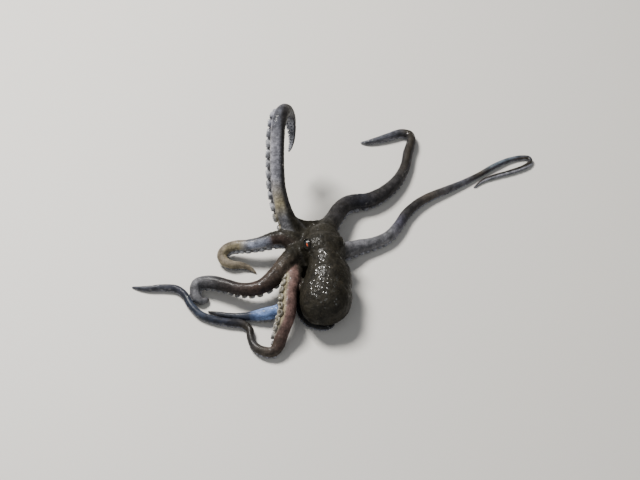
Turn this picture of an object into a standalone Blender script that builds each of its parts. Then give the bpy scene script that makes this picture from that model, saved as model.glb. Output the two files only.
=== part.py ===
"""A small long-armed octopus resting on a flat surface, one arm raised and hooked over at its end.

The body (mantle, head and arm crown with its web) is modelled whole, as overlapping closed forms that
are remeshed into one surface, and is then parted by thin cuts. Each arm is a tapered tube swept along
its own smooth route, parted into lengths, with two staggered rows of sucker cups on its oral side.

Every size and place below is in millimetres, in the frame of the photograph's view: +X to the right,
+Y away from the viewer, +Z up, with the floor at Z = 0. The meshes are made in metres, moved by CENTRE
so that the origin is the middle of the whole animal's footprint.
"""

import math

import bmesh
import bpy
import numpy as np
from mathutils import Matrix, Vector

MM = 0.001
CENTRE = Vector((7.93, 7.61, 0.0))
GAP = 0.3

# Skin colours: RGB, roughness
DARK_SKIN = ((0.035, 0.033, 0.028), 0.3)
SLATE_SKIN = ((0.06, 0.06, 0.075), 0.32)
PLUM_SKIN = ((0.085, 0.065, 0.06), 0.35)
GREY_SKIN = ((0.2, 0.2, 0.2), 0.35)
BLUE_SKIN = ((0.22, 0.27, 0.36), 0.35)
EYE_SKIN = ((0.16, 0.09, 0.03), 0.1)

# Body: (centre, half sizes)
MANTLE = (
    ((2.1, -26.6, 7.9), (9.5, 10.9, 8.2)),
    ((3.1, -19.8, 8.6), (8.6, 11.4, 8.0)),
    ((2.5, -12.6, 9.1), (7.0, 8.0, 7.2)),
    ((-0.5, -28.4, 8.2), (6.9, 9.8, 6.0)),
)
HEAD_DOME = ((1.0, -6.4, 9.8), (8.1, 7.0, 7.2))
BROW = ((0.8, -2.4, 8.2), (7.4, 8.8, 6.8))
CROWN_DOME = ((-4.6, -2.6, 6.3), (8.4, 7.8, 4.6))
NECK_CUT = ((2.6, -12.8, 9.0), (0.08, -1.0, 0.0))
MANTLE_MARGIN = 0.5
HEAD_CUT = ((2.6, -7.0, 12.0), (9.3, 9.4, 8.4))
CAP_MESH = (12, 20)
CUT_TOLERANCE = 1e-7
SORTING_STEP = 1e-7
BODY_TRIANGLES = 2300
BODY_VOXEL = 0.6
BODY_SMOOTHING = 14
SMOOTHING_FACTOR = 0.5
ROOT_SWELL = 0.2
ROOT_OVERRUN = 2.5
ROOT_SIDES = 12
SHARP_ANGLE = math.radians(50.0)

# Eyes: mound centre and the way each eye looks
EYES = {
    "eye_left": ((-3.5, -6.7, 12.6), (-0.44, -0.34, 0.83)),
    "eye_right": ((5.4, -6.2, 12.9), (0.93, 0.2, 0.3)),
}
EYE_MOUND_RADIUS = 3.5
EYE_RADIUS = 2.1
EYE_OFFSET = 1.5
EYE_SIDES = 12
EYE_RINGS = 6
LID_RADIUS = 2.0
LID_THICKNESS = 0.5
LID_OFFSET = 1.55
LID_SIDES = (14, 5)

# Funnel: an open tube under the neck
FUNNEL_START = Vector((4.6, -14.2, 4.6))
FUNNEL_END = Vector((9.4, -9.6, 2.9))
FUNNEL_RADII = (2.2, 1.45)
FUNNEL_WAIST = (0.55, 0.82)
FUNNEL_NECK = 0.9
FUNNEL_LIP = 1.08
FUNNEL_BORE = 0.8
FUNNEL_BORE_END = 0.7
FUNNEL_DEPTH = 2.2
FUNNEL_SIDES = 12
FUNNEL_ROOM = GAP + 0.1

# Mouth, in the middle of the crown's underside: (height, share of the radius)
MOUTH = Vector((-4.4, -2.8, 1.8))
MOUTH_RADIUS = 2.1
MOUTH_SIDES = 10
LIPS = ((-1.2, 0.9), (1.0, 1.0), (1.0, 0.5), (-0.4, 0.0))

# Arms
ARM_SIDES = 8
ORAL_FLATTENING = 0.14
REST_LIFT = 1.28
STEPS = 24
RADIUS_SOFTENING = 10
ORAL_SOFTENING = 12
RING_SPACING = (1.3, 1.5)
RING_BEND = math.radians(26.0)
TIP_LENGTH = 0.01
ARM_CLEARANCE = GAP + 0.06
REST = None
DOWN = (0.0, 0.0, -1.0)

# Suckers: places in millimetres, and sizes in shares of the arm's radius or of the cup's own radius
SUCKER_ANGLE = math.radians(26.0)
SUCKER_SHARE = 0.44
SUCKER_HEIGHT = 0.4
SUCKER_RISE = 0.12
SUCKER_SEAT = 0.97
SUCKER_ROOT = 0.45
SUCKER_PITCH = (2.5, 1.25)
SUCKER_LEAST = 0.36
THIN_ARM = 0.6
SUCKER_MARGIN = 0.35
SUCKER_TIP = 0.6
CROWN_SUCKERS = (4.0, 0.4)
CUPPED_OVER = 0.68
CUP_STEM = 0.62
CUP_HOLE = 0.58
CUP_HOLLOW = 0.3
CUP_SIDES = 6
STUD_STEM = 0.66
STUD_SIDES = 5

# One entry for each arm. "route" runs from the crown to the tip: X, Y, Z and the arm's radius at each
# point, with REST in place of Z where the arm lies on the floor. "oral" gives the way that the sucker side
# faces, and "cuts" the places where the arm is parted, the first being where it leaves the crown. Both
# count along the route's points. "cup" is the size of the suckers, 1 being usual.
ARMS = {
    "arm_left_1": {
        "route": (
            (-5.2, 0.2, 6.4, 3.6), (-9.2, 2.9, 8.4, 3.5), (-12.2, 6.2, 11.6, 3.3), (-14.2, 10.6, 15.4, 3.1),
            (-15.6, 15.2, 19.9, 2.95), (-16.1, 20.9, 26.2, 2.9), (-16.1, 25.0, 30.0, 2.9),
            (-15.9, 29.2, 33.3, 2.9), (-15.4, 33.4, 35.6, 2.85), (-14.3, 38.0, 35.9, 2.75),
            (-13.2, 42.2, 33.6, 2.6), (-12.2, 45.1, 30.0, 2.3), (-11.3, 46.4, 25.8, 1.95),
            (-10.8, 45.4, 21.7, 1.55), (-10.7, 42.4, 18.6, 1.1), (-11.3, 38.9, 17.2, 0.7),
            (-12.0, 36.2, 17.6, 0.3),
        ),
        "oral": (
            (0, DOWN), (2, (-0.85, 0.3, -0.45)), (4, (-1, 0.3, -0.2)), (7, (-1, 0.1, -0.3)),
            (9, (-0.8, -0.1, -0.6)), (12, (-0.5, -0.85, 0)), (16, (-0.2, -0.3, 0.9)),
        ),
        "cuts": (3, 6, 9, 12),
        "cup": 1.25,
        "skin": GREY_SKIN,
    },
    "arm_left_2": {
        "route": (
            (-6.6, -2.0, 6.4, 3.6), (-10.2, -0.6, 8.4, 3.3), (-14.4, 0.2, 8.8, 3.0), (-18.8, -0.4, 8.0, 2.7),
            (-22.6, -1.1, 7.2, 2.4), (-27.0, -1.4, 6.4, 2.25), (-31.4, -0.9, 5.4, 2.2),
            (-34.8, -1.2, 4.0, 2.1), (-36.4, -3.2, 2.9, 1.9), (-35.2, -5.8, REST, 1.75),
            (-32.4, -7.0, REST, 1.6), (-29.0, -7.0, REST, 1.3), (-25.8, -8.0, REST, 0.8),
            (-23.6, -9.6, REST, 0.3),
        ),
        "oral": ((0, DOWN), (3, (0, -0.6, -0.8)), (6, (0, -0.6, -0.8)), (8, (0.5, 0, -0.85)), (13, DOWN)),
        "cuts": (3, 6, 9),
        "cup": 1.0,
        "skin": GREY_SKIN,
    },
    "arm_left_3": {
        "route": (
            (-6.2, -4.6, 6.4, 3.7), (-8.8, -6.8, 8.2, 3.6), (-11.2, -10.6, 9.0, 3.5),
            (-14.1, -15.0, 8.8, 3.4), (-17.4, -18.8, 8.1, 3.1), (-20.8, -21.2, 7.3, 2.8),
            (-24.6, -22.1, 6.7, 2.55), (-29.0, -21.4, 6.0, 2.35), (-33.6, -19.4, 5.4, 2.35),
            (-38.5, -17.5, 4.8, 2.5), (-42.2, -16.9, 4.2, 2.4), (-44.6, -17.4, 3.7, 2.15),
            (-45.4, -19.6, 3.0, 1.95), (-44.8, -22.2, REST, 1.75), (-43.0, -23.6, REST, 1.4),
            (-41.2, -22.8, REST, 1.0), (-41.2, -21.2, REST, 0.3),
        ),
        "oral": (
            (0, DOWN), (9, DOWN), (12, (0.8, 0, -0.6)), (14, (0, 0.6, -0.8)), (16, (-0.6, 0, -0.8)),
        ),
        "cuts": (4, 7, 10, 13),
        "cup": 1.0,
        "skin": PLUM_SKIN,
    },
    "arm_left_4": {
        "route": (
            (-5.4, -5.6, 5.0, 3.4), (-7.4, -9.6, 6.0, 3.2), (-9.2, -14.6, 7.2, 3.05),
            (-10.0, -20.2, 8.4, 2.95), (-10.9, -24.8, 8.9, 2.95), (-11.2, -29.9, 8.9, 2.95),
            (-11.5, -34.2, 7.9, 2.9), (-12.8, -38.0, 6.2, 2.75), (-14.0, -41.6, 4.4, 2.5),
            (-14.6, -44.2, 3.2, 2.2), (-16.4, -46.2, REST, 1.85), (-20.0, -45.8, REST, 1.7),
            (-23.0, -43.4, REST, 1.5), (-24.5, -39.6, REST, 1.35), (-25.0, -36.2, REST, 1.35),
            (-27.6, -33.8, REST, 1.35), (-32.8, -33.0, REST, 1.35), (-38.0, -31.8, REST, 1.3),
            (-43.0, -29.4, REST, 1.3), (-46.8, -25.0, REST, 1.3), (-49.2, -20.6, REST, 1.3),
            (-52.4, -17.8, REST, 1.25), (-57.0, -17.2, REST, 1.2), (-62.4, -17.4, REST, 1.0),
            (-66.2, -17.0, REST, 0.7), (-69.0, -16.2, REST, 0.25),
        ),
        "oral": (
            (0, DOWN), (2, (-0.75, 0, -0.5)), (3, (-0.95, 0, 0.2)), (7, (-0.95, -0.1, 0.2)),
            (9, (-0.6, 0, -0.7)), (10, DOWN), (25, DOWN),
        ),
        "cuts": (3, 6, 9, 12, 15, 18, 21),
        "cup": 1.0,
        "skin": PLUM_SKIN,
    },
    "arm_right_4": {
        "route": (
            (-5.0, -5.4, 4.4, 2.8), (-7.6, -10.2, 3.6, 2.5), (-9.8, -15.2, REST, 2.2),
            (-11.0, -20.0, REST, 2.1), (-12.2, -25.0, REST, 2.15), (-14.8, -28.8, REST, 2.3),
            (-18.6, -30.2, REST, 2.4), (-22.2, -30.6, REST, 2.0), (-25.4, -30.6, REST, 1.55),
            (-28.6, -30.5, REST, 1.3), (-32.4, -30.1, REST, 1.15), (-36.6, -29.0, REST, 0.95),
            (-40.4, -27.4, REST, 0.3),
        ),
        "oral": ((0, DOWN), (12, DOWN)),
        "cuts": (3, 6, 9),
        "cup": 1.0,
        "skin": BLUE_SKIN,
    },
    "arm_right_3": {
        "route": (
            (-3.6, -6.6, 4.4, 2.6), (-4.6, -10.8, 3.6, 2.1), (-5.6, -15.6, REST, 1.7),
            (-6.3, -20.0, REST, 1.6), (-6.9, -24.6, REST, 1.5), (-6.5, -29.2, REST, 1.45),
            (-3.8, -33.0, REST, 1.35), (0.0, -34.8, REST, 1.15), (2.6, -34.7, REST, 0.9),
            (4.4, -33.4, REST, 0.6), (5.2, -32.0, REST, 0.3),
        ),
        "oral": (
            (0, DOWN), (4, DOWN), (6, (0, -0.5, -0.85)), (8, (0.2, -0.5, -0.85)), (10, (0.4, 0, -0.9)),
        ),
        "cuts": (3, 6, 8),
        "cup": 1.0,
        "skin": DARK_SKIN,
    },
    "arm_right_2": {
        "route": (
            (-2.0, -3.6, 5.0, 3.7), (2.6, -4.2, 5.0, 3.5), (7.0, -3.4, 5.0, 3.2), (11.0, -1.4, 4.2, 3.0),
            (14.9, 0.8, REST, 2.6), (20.4, 2.9, REST, 2.2), (25.6, 6.1, REST, 2.1), (29.5, 11.3, REST, 1.95),
            (32.6, 17.2, REST, 1.85), (36.6, 22.2, REST, 1.75), (41.6, 26.4, REST, 1.6),
            (48.8, 30.6, REST, 1.4), (56.0, 34.8, REST, 1.15), (63.0, 39.5, REST, 0.95),
            (69.6, 44.2, REST, 1.05), (75.8, 47.7, REST, 0.9), (80.6, 49.0, REST, 0.85),
            (83.6, 48.6, REST, 0.85), (84.0, 46.6, REST, 0.85), (81.4, 44.0, REST, 0.85),
            (75.6, 41.3, REST, 0.8), (69.0, 38.9, REST, 0.75), (64.2, 36.7, REST, 0.6),
            (60.4, 33.2, REST, 0.25),
        ),
        "oral": ((0, DOWN), (16, DOWN), (19, (0.1, -0.95, -0.1)), (23, (0.1, -0.95, -0.1))),
        "cuts": (3, 6, 9, 12, 15, 19),
        "cup": 1.0,
        "skin": SLATE_SKIN,
    },
    "arm_right_1": {
        "route": (
            (-2.6, 0.0, 5.6, 3.8), (1.1, 3.3, 6.9, 3.7), (3.5, 7.7, 7.1, 3.5), (5.5, 12.2, 6.4, 3.2),
            (7.5, 16.9, 5.6, 3.1), (9.9, 20.4, 4.8, 3.1), (13.5, 22.5, REST, 3.1), (18.0, 23.4, REST, 2.9),
            (23.2, 26.4, REST, 2.75), (27.0, 30.2, REST, 2.5), (31.0, 36.0, REST, 2.2),
            (33.8, 43.0, REST, 1.95), (35.2, 50.2, REST, 1.95), (36.8, 56.4, REST, 1.9),
            (36.3, 60.6, REST, 1.7), (32.8, 61.8, REST, 1.6), (28.2, 60.1, REST, 1.5),
            (23.4, 58.4, REST, 1.25), (19.0, 57.4, REST, 0.9), (16.4, 57.8, REST, 0.3),
        ),
        "oral": ((0, DOWN), (15, DOWN), (19, (0, -0.4, -0.9))),
        "cuts": (4, 7, 10, 13, 16),
        "cup": 1.0,
        "skin": SLATE_SKIN,
    },
}

# Webs: the two arms that each joins, how far along them it reaches, and how deep its free edge dips
WEBS = (
    ("arm_right_1", "arm_left_1", 16.0, 0.26),
    ("arm_left_1", "arm_left_2", 13.0, 0.4),
    ("arm_left_2", "arm_left_3", 12.5, 0.38),
    ("arm_left_3", "arm_left_4", 13.0, 0.3),
    ("arm_left_4", "arm_right_4", 11.0, 0.3),
    ("arm_right_4", "arm_right_3", 10.0, 0.3),
    ("arm_right_3", "arm_right_2", 9.0, 0.4),
    ("arm_right_2", "arm_right_1", 13.0, 0.45),
)
WEB_THICKNESS = 2.0
WEB_GRID = (6, 5)


# Scene helpers


def clear_scene():
    for obj in list(bpy.data.objects):
        bpy.data.objects.remove(obj)


def to_metres(point):
    return (Vector(point) - CENTRE) * MM


def make_object(name, points, faces):
    """A mesh object from points in millimetres, with its faces turned outwards."""
    mesh = bpy.data.meshes.new(name)
    mesh.from_pydata([to_metres(p) for p in points], [], faces)
    shape = bmesh.new()
    shape.from_mesh(mesh)
    bmesh.ops.recalc_face_normals(shape, faces=shape.faces)
    if shape.calc_volume(signed=True) < 0:
        bmesh.ops.reverse_faces(shape, faces=shape.faces)
    shape.to_mesh(mesh)
    shape.free()
    obj = bpy.data.objects.new(name, mesh)
    bpy.context.scene.collection.objects.link(obj)
    return obj


def apply_modifiers(obj):
    """Keeps the mesh that the object's modifiers make, and takes them off."""
    bpy.context.view_layer.update()
    graph = bpy.context.evaluated_depsgraph_get()
    mesh = bpy.data.meshes.new_from_object(obj.evaluated_get(graph))
    obj.modifiers.clear()
    obj.data = mesh


def duplicate(obj, name):
    copy = bpy.data.objects.new(name, obj.data.copy())
    bpy.context.scene.collection.objects.link(copy)
    return copy


def boolean(obj, operation, cutters, solver="EXACT"):
    """Joins or cuts obj with a collection of closed meshes, which are then removed."""
    group = bpy.data.collections.new("cutters")
    bpy.context.scene.collection.children.link(group)
    for cutter in cutters:
        bpy.context.scene.collection.objects.unlink(cutter)
        group.objects.link(cutter)
    modifier = obj.modifiers.new(operation.lower(), "BOOLEAN")
    modifier.operation = operation
    modifier.solver = solver
    modifier.operand_type = "COLLECTION"
    modifier.collection = group
    apply_modifiers(obj)
    for cutter in cutters:
        bpy.data.objects.remove(cutter)
    bpy.data.collections.remove(group)


def put_in_order(obj):
    """Sorts the mesh's points and faces by place, because a union may list them in any order."""
    mesh = obj.data
    places = [tuple(round(c / SORTING_STEP) for c in vertex.co) for vertex in mesh.vertices]
    order = sorted(range(len(places)), key=lambda i: places[i])
    rank = {old: new for new, old in enumerate(order)}
    faces = []
    for polygon in mesh.polygons:
        ring = [rank[i] for i in polygon.vertices]
        first = ring.index(min(ring))
        faces.append(tuple(ring[first:] + ring[:first]))
    points = [mesh.vertices[i].co.copy() for i in order]
    obj.data = bpy.data.meshes.new(mesh.name)
    obj.data.from_pydata(points, [], sorted(faces))


def keep_largest(obj):
    """Leaves only the largest closed surface of the mesh."""
    shape = bmesh.new()
    shape.from_mesh(obj.data)
    unseen = set(shape.verts)
    largest = []
    while unseen:
        shell = [unseen.pop()]
        for vertex in shell:
            for edge in vertex.link_edges:
                other = edge.other_vert(vertex)
                if other in unseen:
                    unseen.remove(other)
                    shell.append(other)
        if len(shell) > len(largest):
            largest = shell
    kept = set(largest)
    bmesh.ops.delete(shape, geom=[v for v in shape.verts if v not in kept], context="VERTS")
    shape.to_mesh(obj.data)
    shape.free()


def level_on_floor(obj):
    """Turns whatever would dip under the floor into small flats on it."""
    for vertex in obj.data.vertices:
        vertex.co.z = max(vertex.co.z, 0.0)


def finish_node(obj, skin):
    """Gives the node its skin colour and smooth shading with crisp cup rims."""
    colour, roughness = skin
    material = bpy.data.materials.new(obj.name)
    material.use_nodes = True
    shader = material.node_tree.nodes["Principled BSDF"]
    shader.inputs["Base Color"].default_value = (*colour, 1.0)
    shader.inputs["Roughness"].default_value = roughness
    shader.inputs["Metallic"].default_value = 0.0
    obj.data.materials.clear()
    obj.data.materials.append(material)
    obj.data.shade_smooth()
    obj.data.set_sharp_from_angle(angle=SHARP_ANGLE)


# Simple closed forms


def ellipsoid(name, centre, half_sizes, rings=14, sides=20):
    shape = bmesh.new()
    size = Matrix.Diagonal((*[h * MM for h in half_sizes], 1.0))
    place = Matrix.Translation(to_metres(centre))
    bmesh.ops.create_uvsphere(shape, u_segments=sides, v_segments=rings, radius=1.0, matrix=place @ size)
    mesh = bpy.data.meshes.new(name)
    shape.to_mesh(mesh)
    shape.free()
    obj = bpy.data.objects.new(name, mesh)
    bpy.context.scene.collection.objects.link(obj)
    return obj


def turned(name, base, axis, profile, sides, towards=(1.0, 0.3, 0.1)):
    """A closed form turned about axis from base. Each profile pair is (height, radius), 0 for a point."""
    axis = Vector(axis).normalized()
    across = (Vector(towards) - axis * Vector(towards).dot(axis)).normalized()
    side = axis.cross(across)
    points = []
    rings = []
    for height, radius in profile:
        centre = Vector(base) + axis * height
        if radius == 0:
            rings.append([len(points)])
            points.append(centre)
            continue
        rings.append(list(range(len(points), len(points) + sides)))
        for i in range(sides):
            angle = 2 * math.pi * i / sides
            points.append(centre + (across * math.cos(angle) + side * math.sin(angle)) * radius)
    return make_object(name, points, ring_faces(rings))


def ring_faces(rings):
    """Faces that join one ring of points to the next, and close the two ends."""
    faces = []
    for low, high in zip(rings, rings[1:]):
        sides = max(len(low), len(high))
        for i in range(sides):
            j = (i + 1) % sides
            if len(high) == 1:
                faces.append((low[i], low[j], high[0]))
            elif len(low) == 1:
                faces.append((low[0], high[j], high[i]))
            else:
                faces.append((low[i], low[j], high[j], high[i]))
    for end in (rings[0], rings[-1]):
        if len(end) > 2:
            faces.append(tuple(end))
    return faces


# Arms


def through_points(points):
    """Samples of a smooth curve through the points (a centripetal Catmull-Rom spline)."""
    points = np.array(points, float)
    ends = np.vstack([2 * points[0] - points[1], points, 2 * points[-1] - points[-2]])
    samples = []
    for p0, p1, p2, p3 in zip(ends, ends[1:], ends[2:], ends[3:]):
        t1 = np.linalg.norm(p1 - p0) ** 0.5
        t2 = t1 + np.linalg.norm(p2 - p1) ** 0.5
        t3 = t2 + np.linalg.norm(p3 - p2) ** 0.5
        for t in np.linspace(t1, t2, STEPS, endpoint=False):
            a1 = (t1 - t) / t1 * p0 + t / t1 * p1
            a2 = (t2 - t) / (t2 - t1) * p1 + (t - t1) / (t2 - t1) * p2
            a3 = (t3 - t) / (t3 - t2) * p2 + (t - t2) / (t3 - t2) * p3
            b1 = (t2 - t) / t2 * a1 + t / t2 * a2
            b2 = (t3 - t) / (t3 - t1) * a2 + (t - t1) / (t3 - t1) * a3
            samples.append((t2 - t) / (t2 - t1) * b1 + (t - t1) / (t2 - t1) * b2)
    samples.append(points[-1])
    return np.array(samples)


def distances(points):
    return np.concatenate([[0.0], np.cumsum(np.linalg.norm(np.diff(points, axis=0), axis=1))])


def softened(values, width):
    """A running mean, with the ends kept."""
    padded = np.pad(values, width, mode="edge")
    kernel = np.ones(2 * width + 1) / (2 * width + 1)
    smooth = np.convolve(padded, kernel, mode="valid")
    blend = np.clip(np.minimum(np.arange(len(values)), np.arange(len(values))[::-1]) / width, 0, 1)
    return values * (1 - blend) + smooth * blend


class Arm:
    """One arm's centreline, radius and oral side, sampled finely by distance along the route."""

    STEP = 0.25

    def __init__(self, name, facts):
        self.name = name
        self.skin = facts["skin"]
        self.cup = facts["cup"]
        route = np.array([(x, y, REST_LIFT * r if z is REST else z) for x, y, z, r in facts["route"]])
        radii = [point[3] for point in facts["route"]]
        curve = through_points(route)
        along = distances(curve)
        places = along[::STEPS]
        numbers = np.arange(len(places))
        self.length = along[-1]
        self.cuts = [float(places[cut]) for cut in facts["cuts"]]
        self.at = np.linspace(0.0, self.length, int(self.length / self.STEP) + 1)
        self.points = np.stack([np.interp(self.at, along, curve[:, k]) for k in range(3)], axis=1)
        self.radii = softened(np.interp(self.at, places, radii), RADIUS_SOFTENING)
        tangents = np.gradient(self.points, axis=0)
        self.tangents = tangents / np.linalg.norm(tangents, axis=1)[:, None]
        where, hints = zip(*facts["oral"])
        hints = np.array(hints, float)
        number = np.interp(self.at, places, numbers)
        rows = [softened(np.interp(number, where, hints[:, k]), ORAL_SOFTENING) for k in range(3)]
        oral = np.stack(rows, axis=1)
        oral -= self.tangents * np.sum(oral * self.tangents, axis=1)[:, None]
        self.oral = oral / np.linalg.norm(oral, axis=1)[:, None]

    def frame(self, distance):
        """(centre, tangent, oral direction, side direction, radius) at a distance along the arm."""
        i = min(int(round(distance / self.length * (len(self.at) - 1))), len(self.at) - 1)
        tangent = Vector(self.tangents[i])
        oral = Vector(self.oral[i])
        return Vector(self.points[i]), tangent, oral, tangent.cross(oral), float(self.radii[i])

    def stations(self, start, end):
        """Distances of the tube's rings: closer where the arm is thin or bends."""
        found = [start]
        due = 0.0
        low, high = np.searchsorted(self.at, (start, end))
        for i in range(low + 1, min(high, len(self.at) - 1)):
            bend = math.acos(max(-1.0, min(1.0, float(self.tangents[i] @ self.tangents[i - 1]))))
            spacing = RING_SPACING[0] + RING_SPACING[1] * self.radii[i]
            due += self.STEP / spacing + bend / RING_BEND
            if due >= 1.0:
                found.append(self.at[i])
                due = 0.0
        if len(found) > 1 and end - found[-1] < 0.5 * (found[-1] - found[-2]):
            found.pop()
        found.append(end)
        return found

    def tube(self, name, start, end, extra=0.0, sides=ARM_SIDES):
        """The arm's flesh between two distances, as a closed tube, made thicker by extra."""
        rings = []
        points = []
        pointed = end > self.length - TIP_LENGTH and not extra
        for distance in self.stations(start, end):
            centre, _, oral, side, radius = self.frame(distance)
            if pointed and distance == end:
                rings.append([len(points)])
                points.append(centre)
                continue
            rings.append(list(range(len(points), len(points) + sides)))
            for k in range(sides):
                angle = 2 * math.pi * (k + 0.5) / sides
                flat = 1.0 - ORAL_FLATTENING * max(0.0, math.cos(angle)) ** 2
                reach = radius * flat + extra
                points.append(centre + (oral * math.cos(angle) + side * math.sin(angle)) * reach)
        return make_object(name, points, ring_faces(rings))

    def suckers(self, start, end):
        """Two staggered rows of sucker cups between two distances, as closed pieces to be joined."""
        pieces = []
        share = SUCKER_SHARE * self.cup
        distance = start + share * self.frame(start)[4] + SUCKER_MARGIN
        hand = 1.0
        while distance < end - SUCKER_TIP:
            radius = self.frame(distance)[4]
            if distance + share * radius + SUCKER_MARGIN < end:
                pieces.append(self.sucker(distance, hand))
            distance += 0.5 * (SUCKER_PITCH[0] + SUCKER_PITCH[1] * radius)
            hand = -hand
        return pieces

    def sucker(self, distance, hand):
        centre, tangent, oral, side, radius = self.frame(distance)
        axis = oral * math.cos(SUCKER_ANGLE) + side * (hand * math.sin(SUCKER_ANGLE))
        cup = max(SUCKER_SHARE * self.cup * radius, SUCKER_LEAST * min(1.0, radius / THIN_ARM))
        rise = SUCKER_HEIGHT * self.cup * radius + SUCKER_RISE
        skin = centre + axis * (radius * (1.0 - ORAL_FLATTENING) * SUCKER_SEAT)
        root = -SUCKER_ROOT * radius
        if cup > CUPPED_OVER:
            profile = ((root, CUP_STEM * cup), (rise, cup), (rise, CUP_HOLE * cup), (CUP_HOLLOW * rise, 0))
            return turned("sucker", skin, axis, profile, CUP_SIDES, tangent)
        return turned("sucker", skin, axis, ((root, STUD_STEM * cup), (rise, cup)), STUD_SIDES, tangent)


def web(name, first, second, reach, dip):
    """A closed sheet between the roots of two arms, with a free edge that dips towards the crown."""
    across, along = WEB_GRID
    top = []
    bottom = []
    for v in range(along + 1):
        for u in range(across + 1):
            share = u / across
            out = reach * v / along * (1.0 - dip * 4 * share * (1 - share))
            point = first.frame(out)[0].lerp(second.frame(out)[0], share)
            top.append(point + Vector((0, 0, WEB_THICKNESS / 2)))
            bottom.append(point - Vector((0, 0, WEB_THICKNESS / 2)))
    count = len(top)
    wide = across + 1
    faces = []
    for v in range(along):
        for u in range(across):
            a = v * wide + u
            square = (a, a + 1, a + 1 + wide, a + wide)
            faces.append(square)
            faces.append(tuple(count + i for i in reversed(square)))
    rim = list(range(wide))
    rim += [v * wide + across for v in range(1, along + 1)]
    rim += [along * wide + u for u in range(across - 1, -1, -1)]
    rim += [v * wide for v in range(along - 1, 0, -1)]
    for a, b in zip(rim, rim[1:] + rim[:1]):
        faces.append((a, b, count + b, count + a))
    return make_object(name, top + bottom, faces)


# Body


def blended_body(arms):
    """Mantle, head, crown, webs and arm roots as one smooth closed surface."""
    pieces = [ellipsoid("lobe", *form) for form in (*MANTLE, HEAD_DOME, BROW, CROWN_DOME)]
    for name, (mound, _) in EYES.items():
        pieces.append(ellipsoid(name + "_mound", mound, (EYE_MOUND_RADIUS,) * 3))
    for arm in arms.values():
        pieces.append(arm.tube(arm.name + "_root", 0.0, arm.cuts[0] + ROOT_OVERRUN, ROOT_SWELL, ROOT_SIDES))
    for first, second, reach, dip in WEBS:
        pieces.append(web("web", arms[first], arms[second], reach, dip))
    shape = bmesh.new()
    for piece in pieces:
        shape.from_mesh(piece.data)
        bpy.data.objects.remove(piece)
    mesh = bpy.data.meshes.new("body")
    shape.to_mesh(mesh)
    shape.free()
    body = bpy.data.objects.new("body", mesh)
    bpy.context.scene.collection.objects.link(body)
    remesh = body.modifiers.new("fuse", "REMESH")
    remesh.mode = "VOXEL"
    remesh.voxel_size = BODY_VOXEL * MM
    soften = body.modifiers.new("soften", "SMOOTH")
    soften.factor = SMOOTHING_FACTOR
    soften.iterations = BODY_SMOOTHING
    apply_modifiers(body)
    keep_largest(body)
    thin = body.modifiers.new("thin", "DECIMATE")
    thin.ratio = min(1.0, BODY_TRIANGLES / (2 * len(body.data.polygons)))
    apply_modifiers(body)
    return body


def half(obj, name, point, normal):
    """A closed copy of obj with everything on the normal's side of a plane cut away."""
    part = duplicate(obj, name)
    shape = bmesh.new()
    shape.from_mesh(part.data)
    bmesh.ops.bisect_plane(
        shape,
        geom=shape.verts[:] + shape.edges[:] + shape.faces[:],
        dist=CUT_TOLERANCE,
        plane_co=to_metres(point),
        plane_no=Vector(normal),
        clear_outer=True,
    )
    rims = [edge for edge in shape.edges if edge.is_boundary]
    bmesh.ops.holes_fill(shape, edges=rims, sides=0)
    bmesh.ops.recalc_face_normals(shape, faces=shape.faces)
    shape.to_mesh(part.data)
    shape.free()
    return part


def mantle_zone(extra):
    """The room that the mantle takes behind the neck cut, larger by extra all round."""
    point, normal = (Vector(v) for v in NECK_CUT)
    normal.normalize()
    zone, *others = (
        ellipsoid("zone", centre, [s + MANTLE_MARGIN + extra for s in sizes])
        for centre, sizes in MANTLE
    )
    boolean(zone, "UNION", others)
    put_in_order(zone)
    closed = half(zone, "mantle_zone", point + normal * (GAP - extra), -normal)
    bpy.data.objects.remove(zone)
    return closed


def sphere_profile(radius):
    angles = [math.pi * i / EYE_RINGS for i in range(EYE_RINGS + 1)]
    between = [(-radius * math.cos(angle), radius * math.sin(angle)) for angle in angles[1:-1]]
    return [(-radius, 0), *between, (radius, 0)]


def lid_ring(centre, look):
    """The fold of skin round an eye."""
    count, sides = LID_SIDES
    across = look.orthogonal().normalized()
    up = look.cross(across)
    points, faces = [], []
    for i in range(count):
        angle = 2 * math.pi * i / count
        out = across * math.cos(angle) + up * math.sin(angle)
        for k in range(sides):
            turn = 2 * math.pi * k / sides
            offset = out * math.cos(turn) + look * math.sin(turn)
            points.append(centre + look * LID_OFFSET + out * LID_RADIUS + offset * LID_THICKNESS)
    for i in range(count):
        low, high = i * sides, (i + 1) % count * sides
        for k in range(sides):
            j = (k + 1) % sides
            faces.append((low + k, low + j, high + j, high + k))
    return make_object("lid", points, faces)


def eye_parts(name, mound, look):
    """The eyeball, the lid round it and the socket's cutter."""
    look = Vector(look).normalized()
    centre = Vector(mound) + look * EYE_OFFSET
    ball = turned(name, centre, look, sphere_profile(EYE_RADIUS), EYE_SIDES)
    socket = turned("socket", centre, look, sphere_profile(EYE_RADIUS + GAP), EYE_SIDES)
    return ball, lid_ring(centre, look), socket


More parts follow.
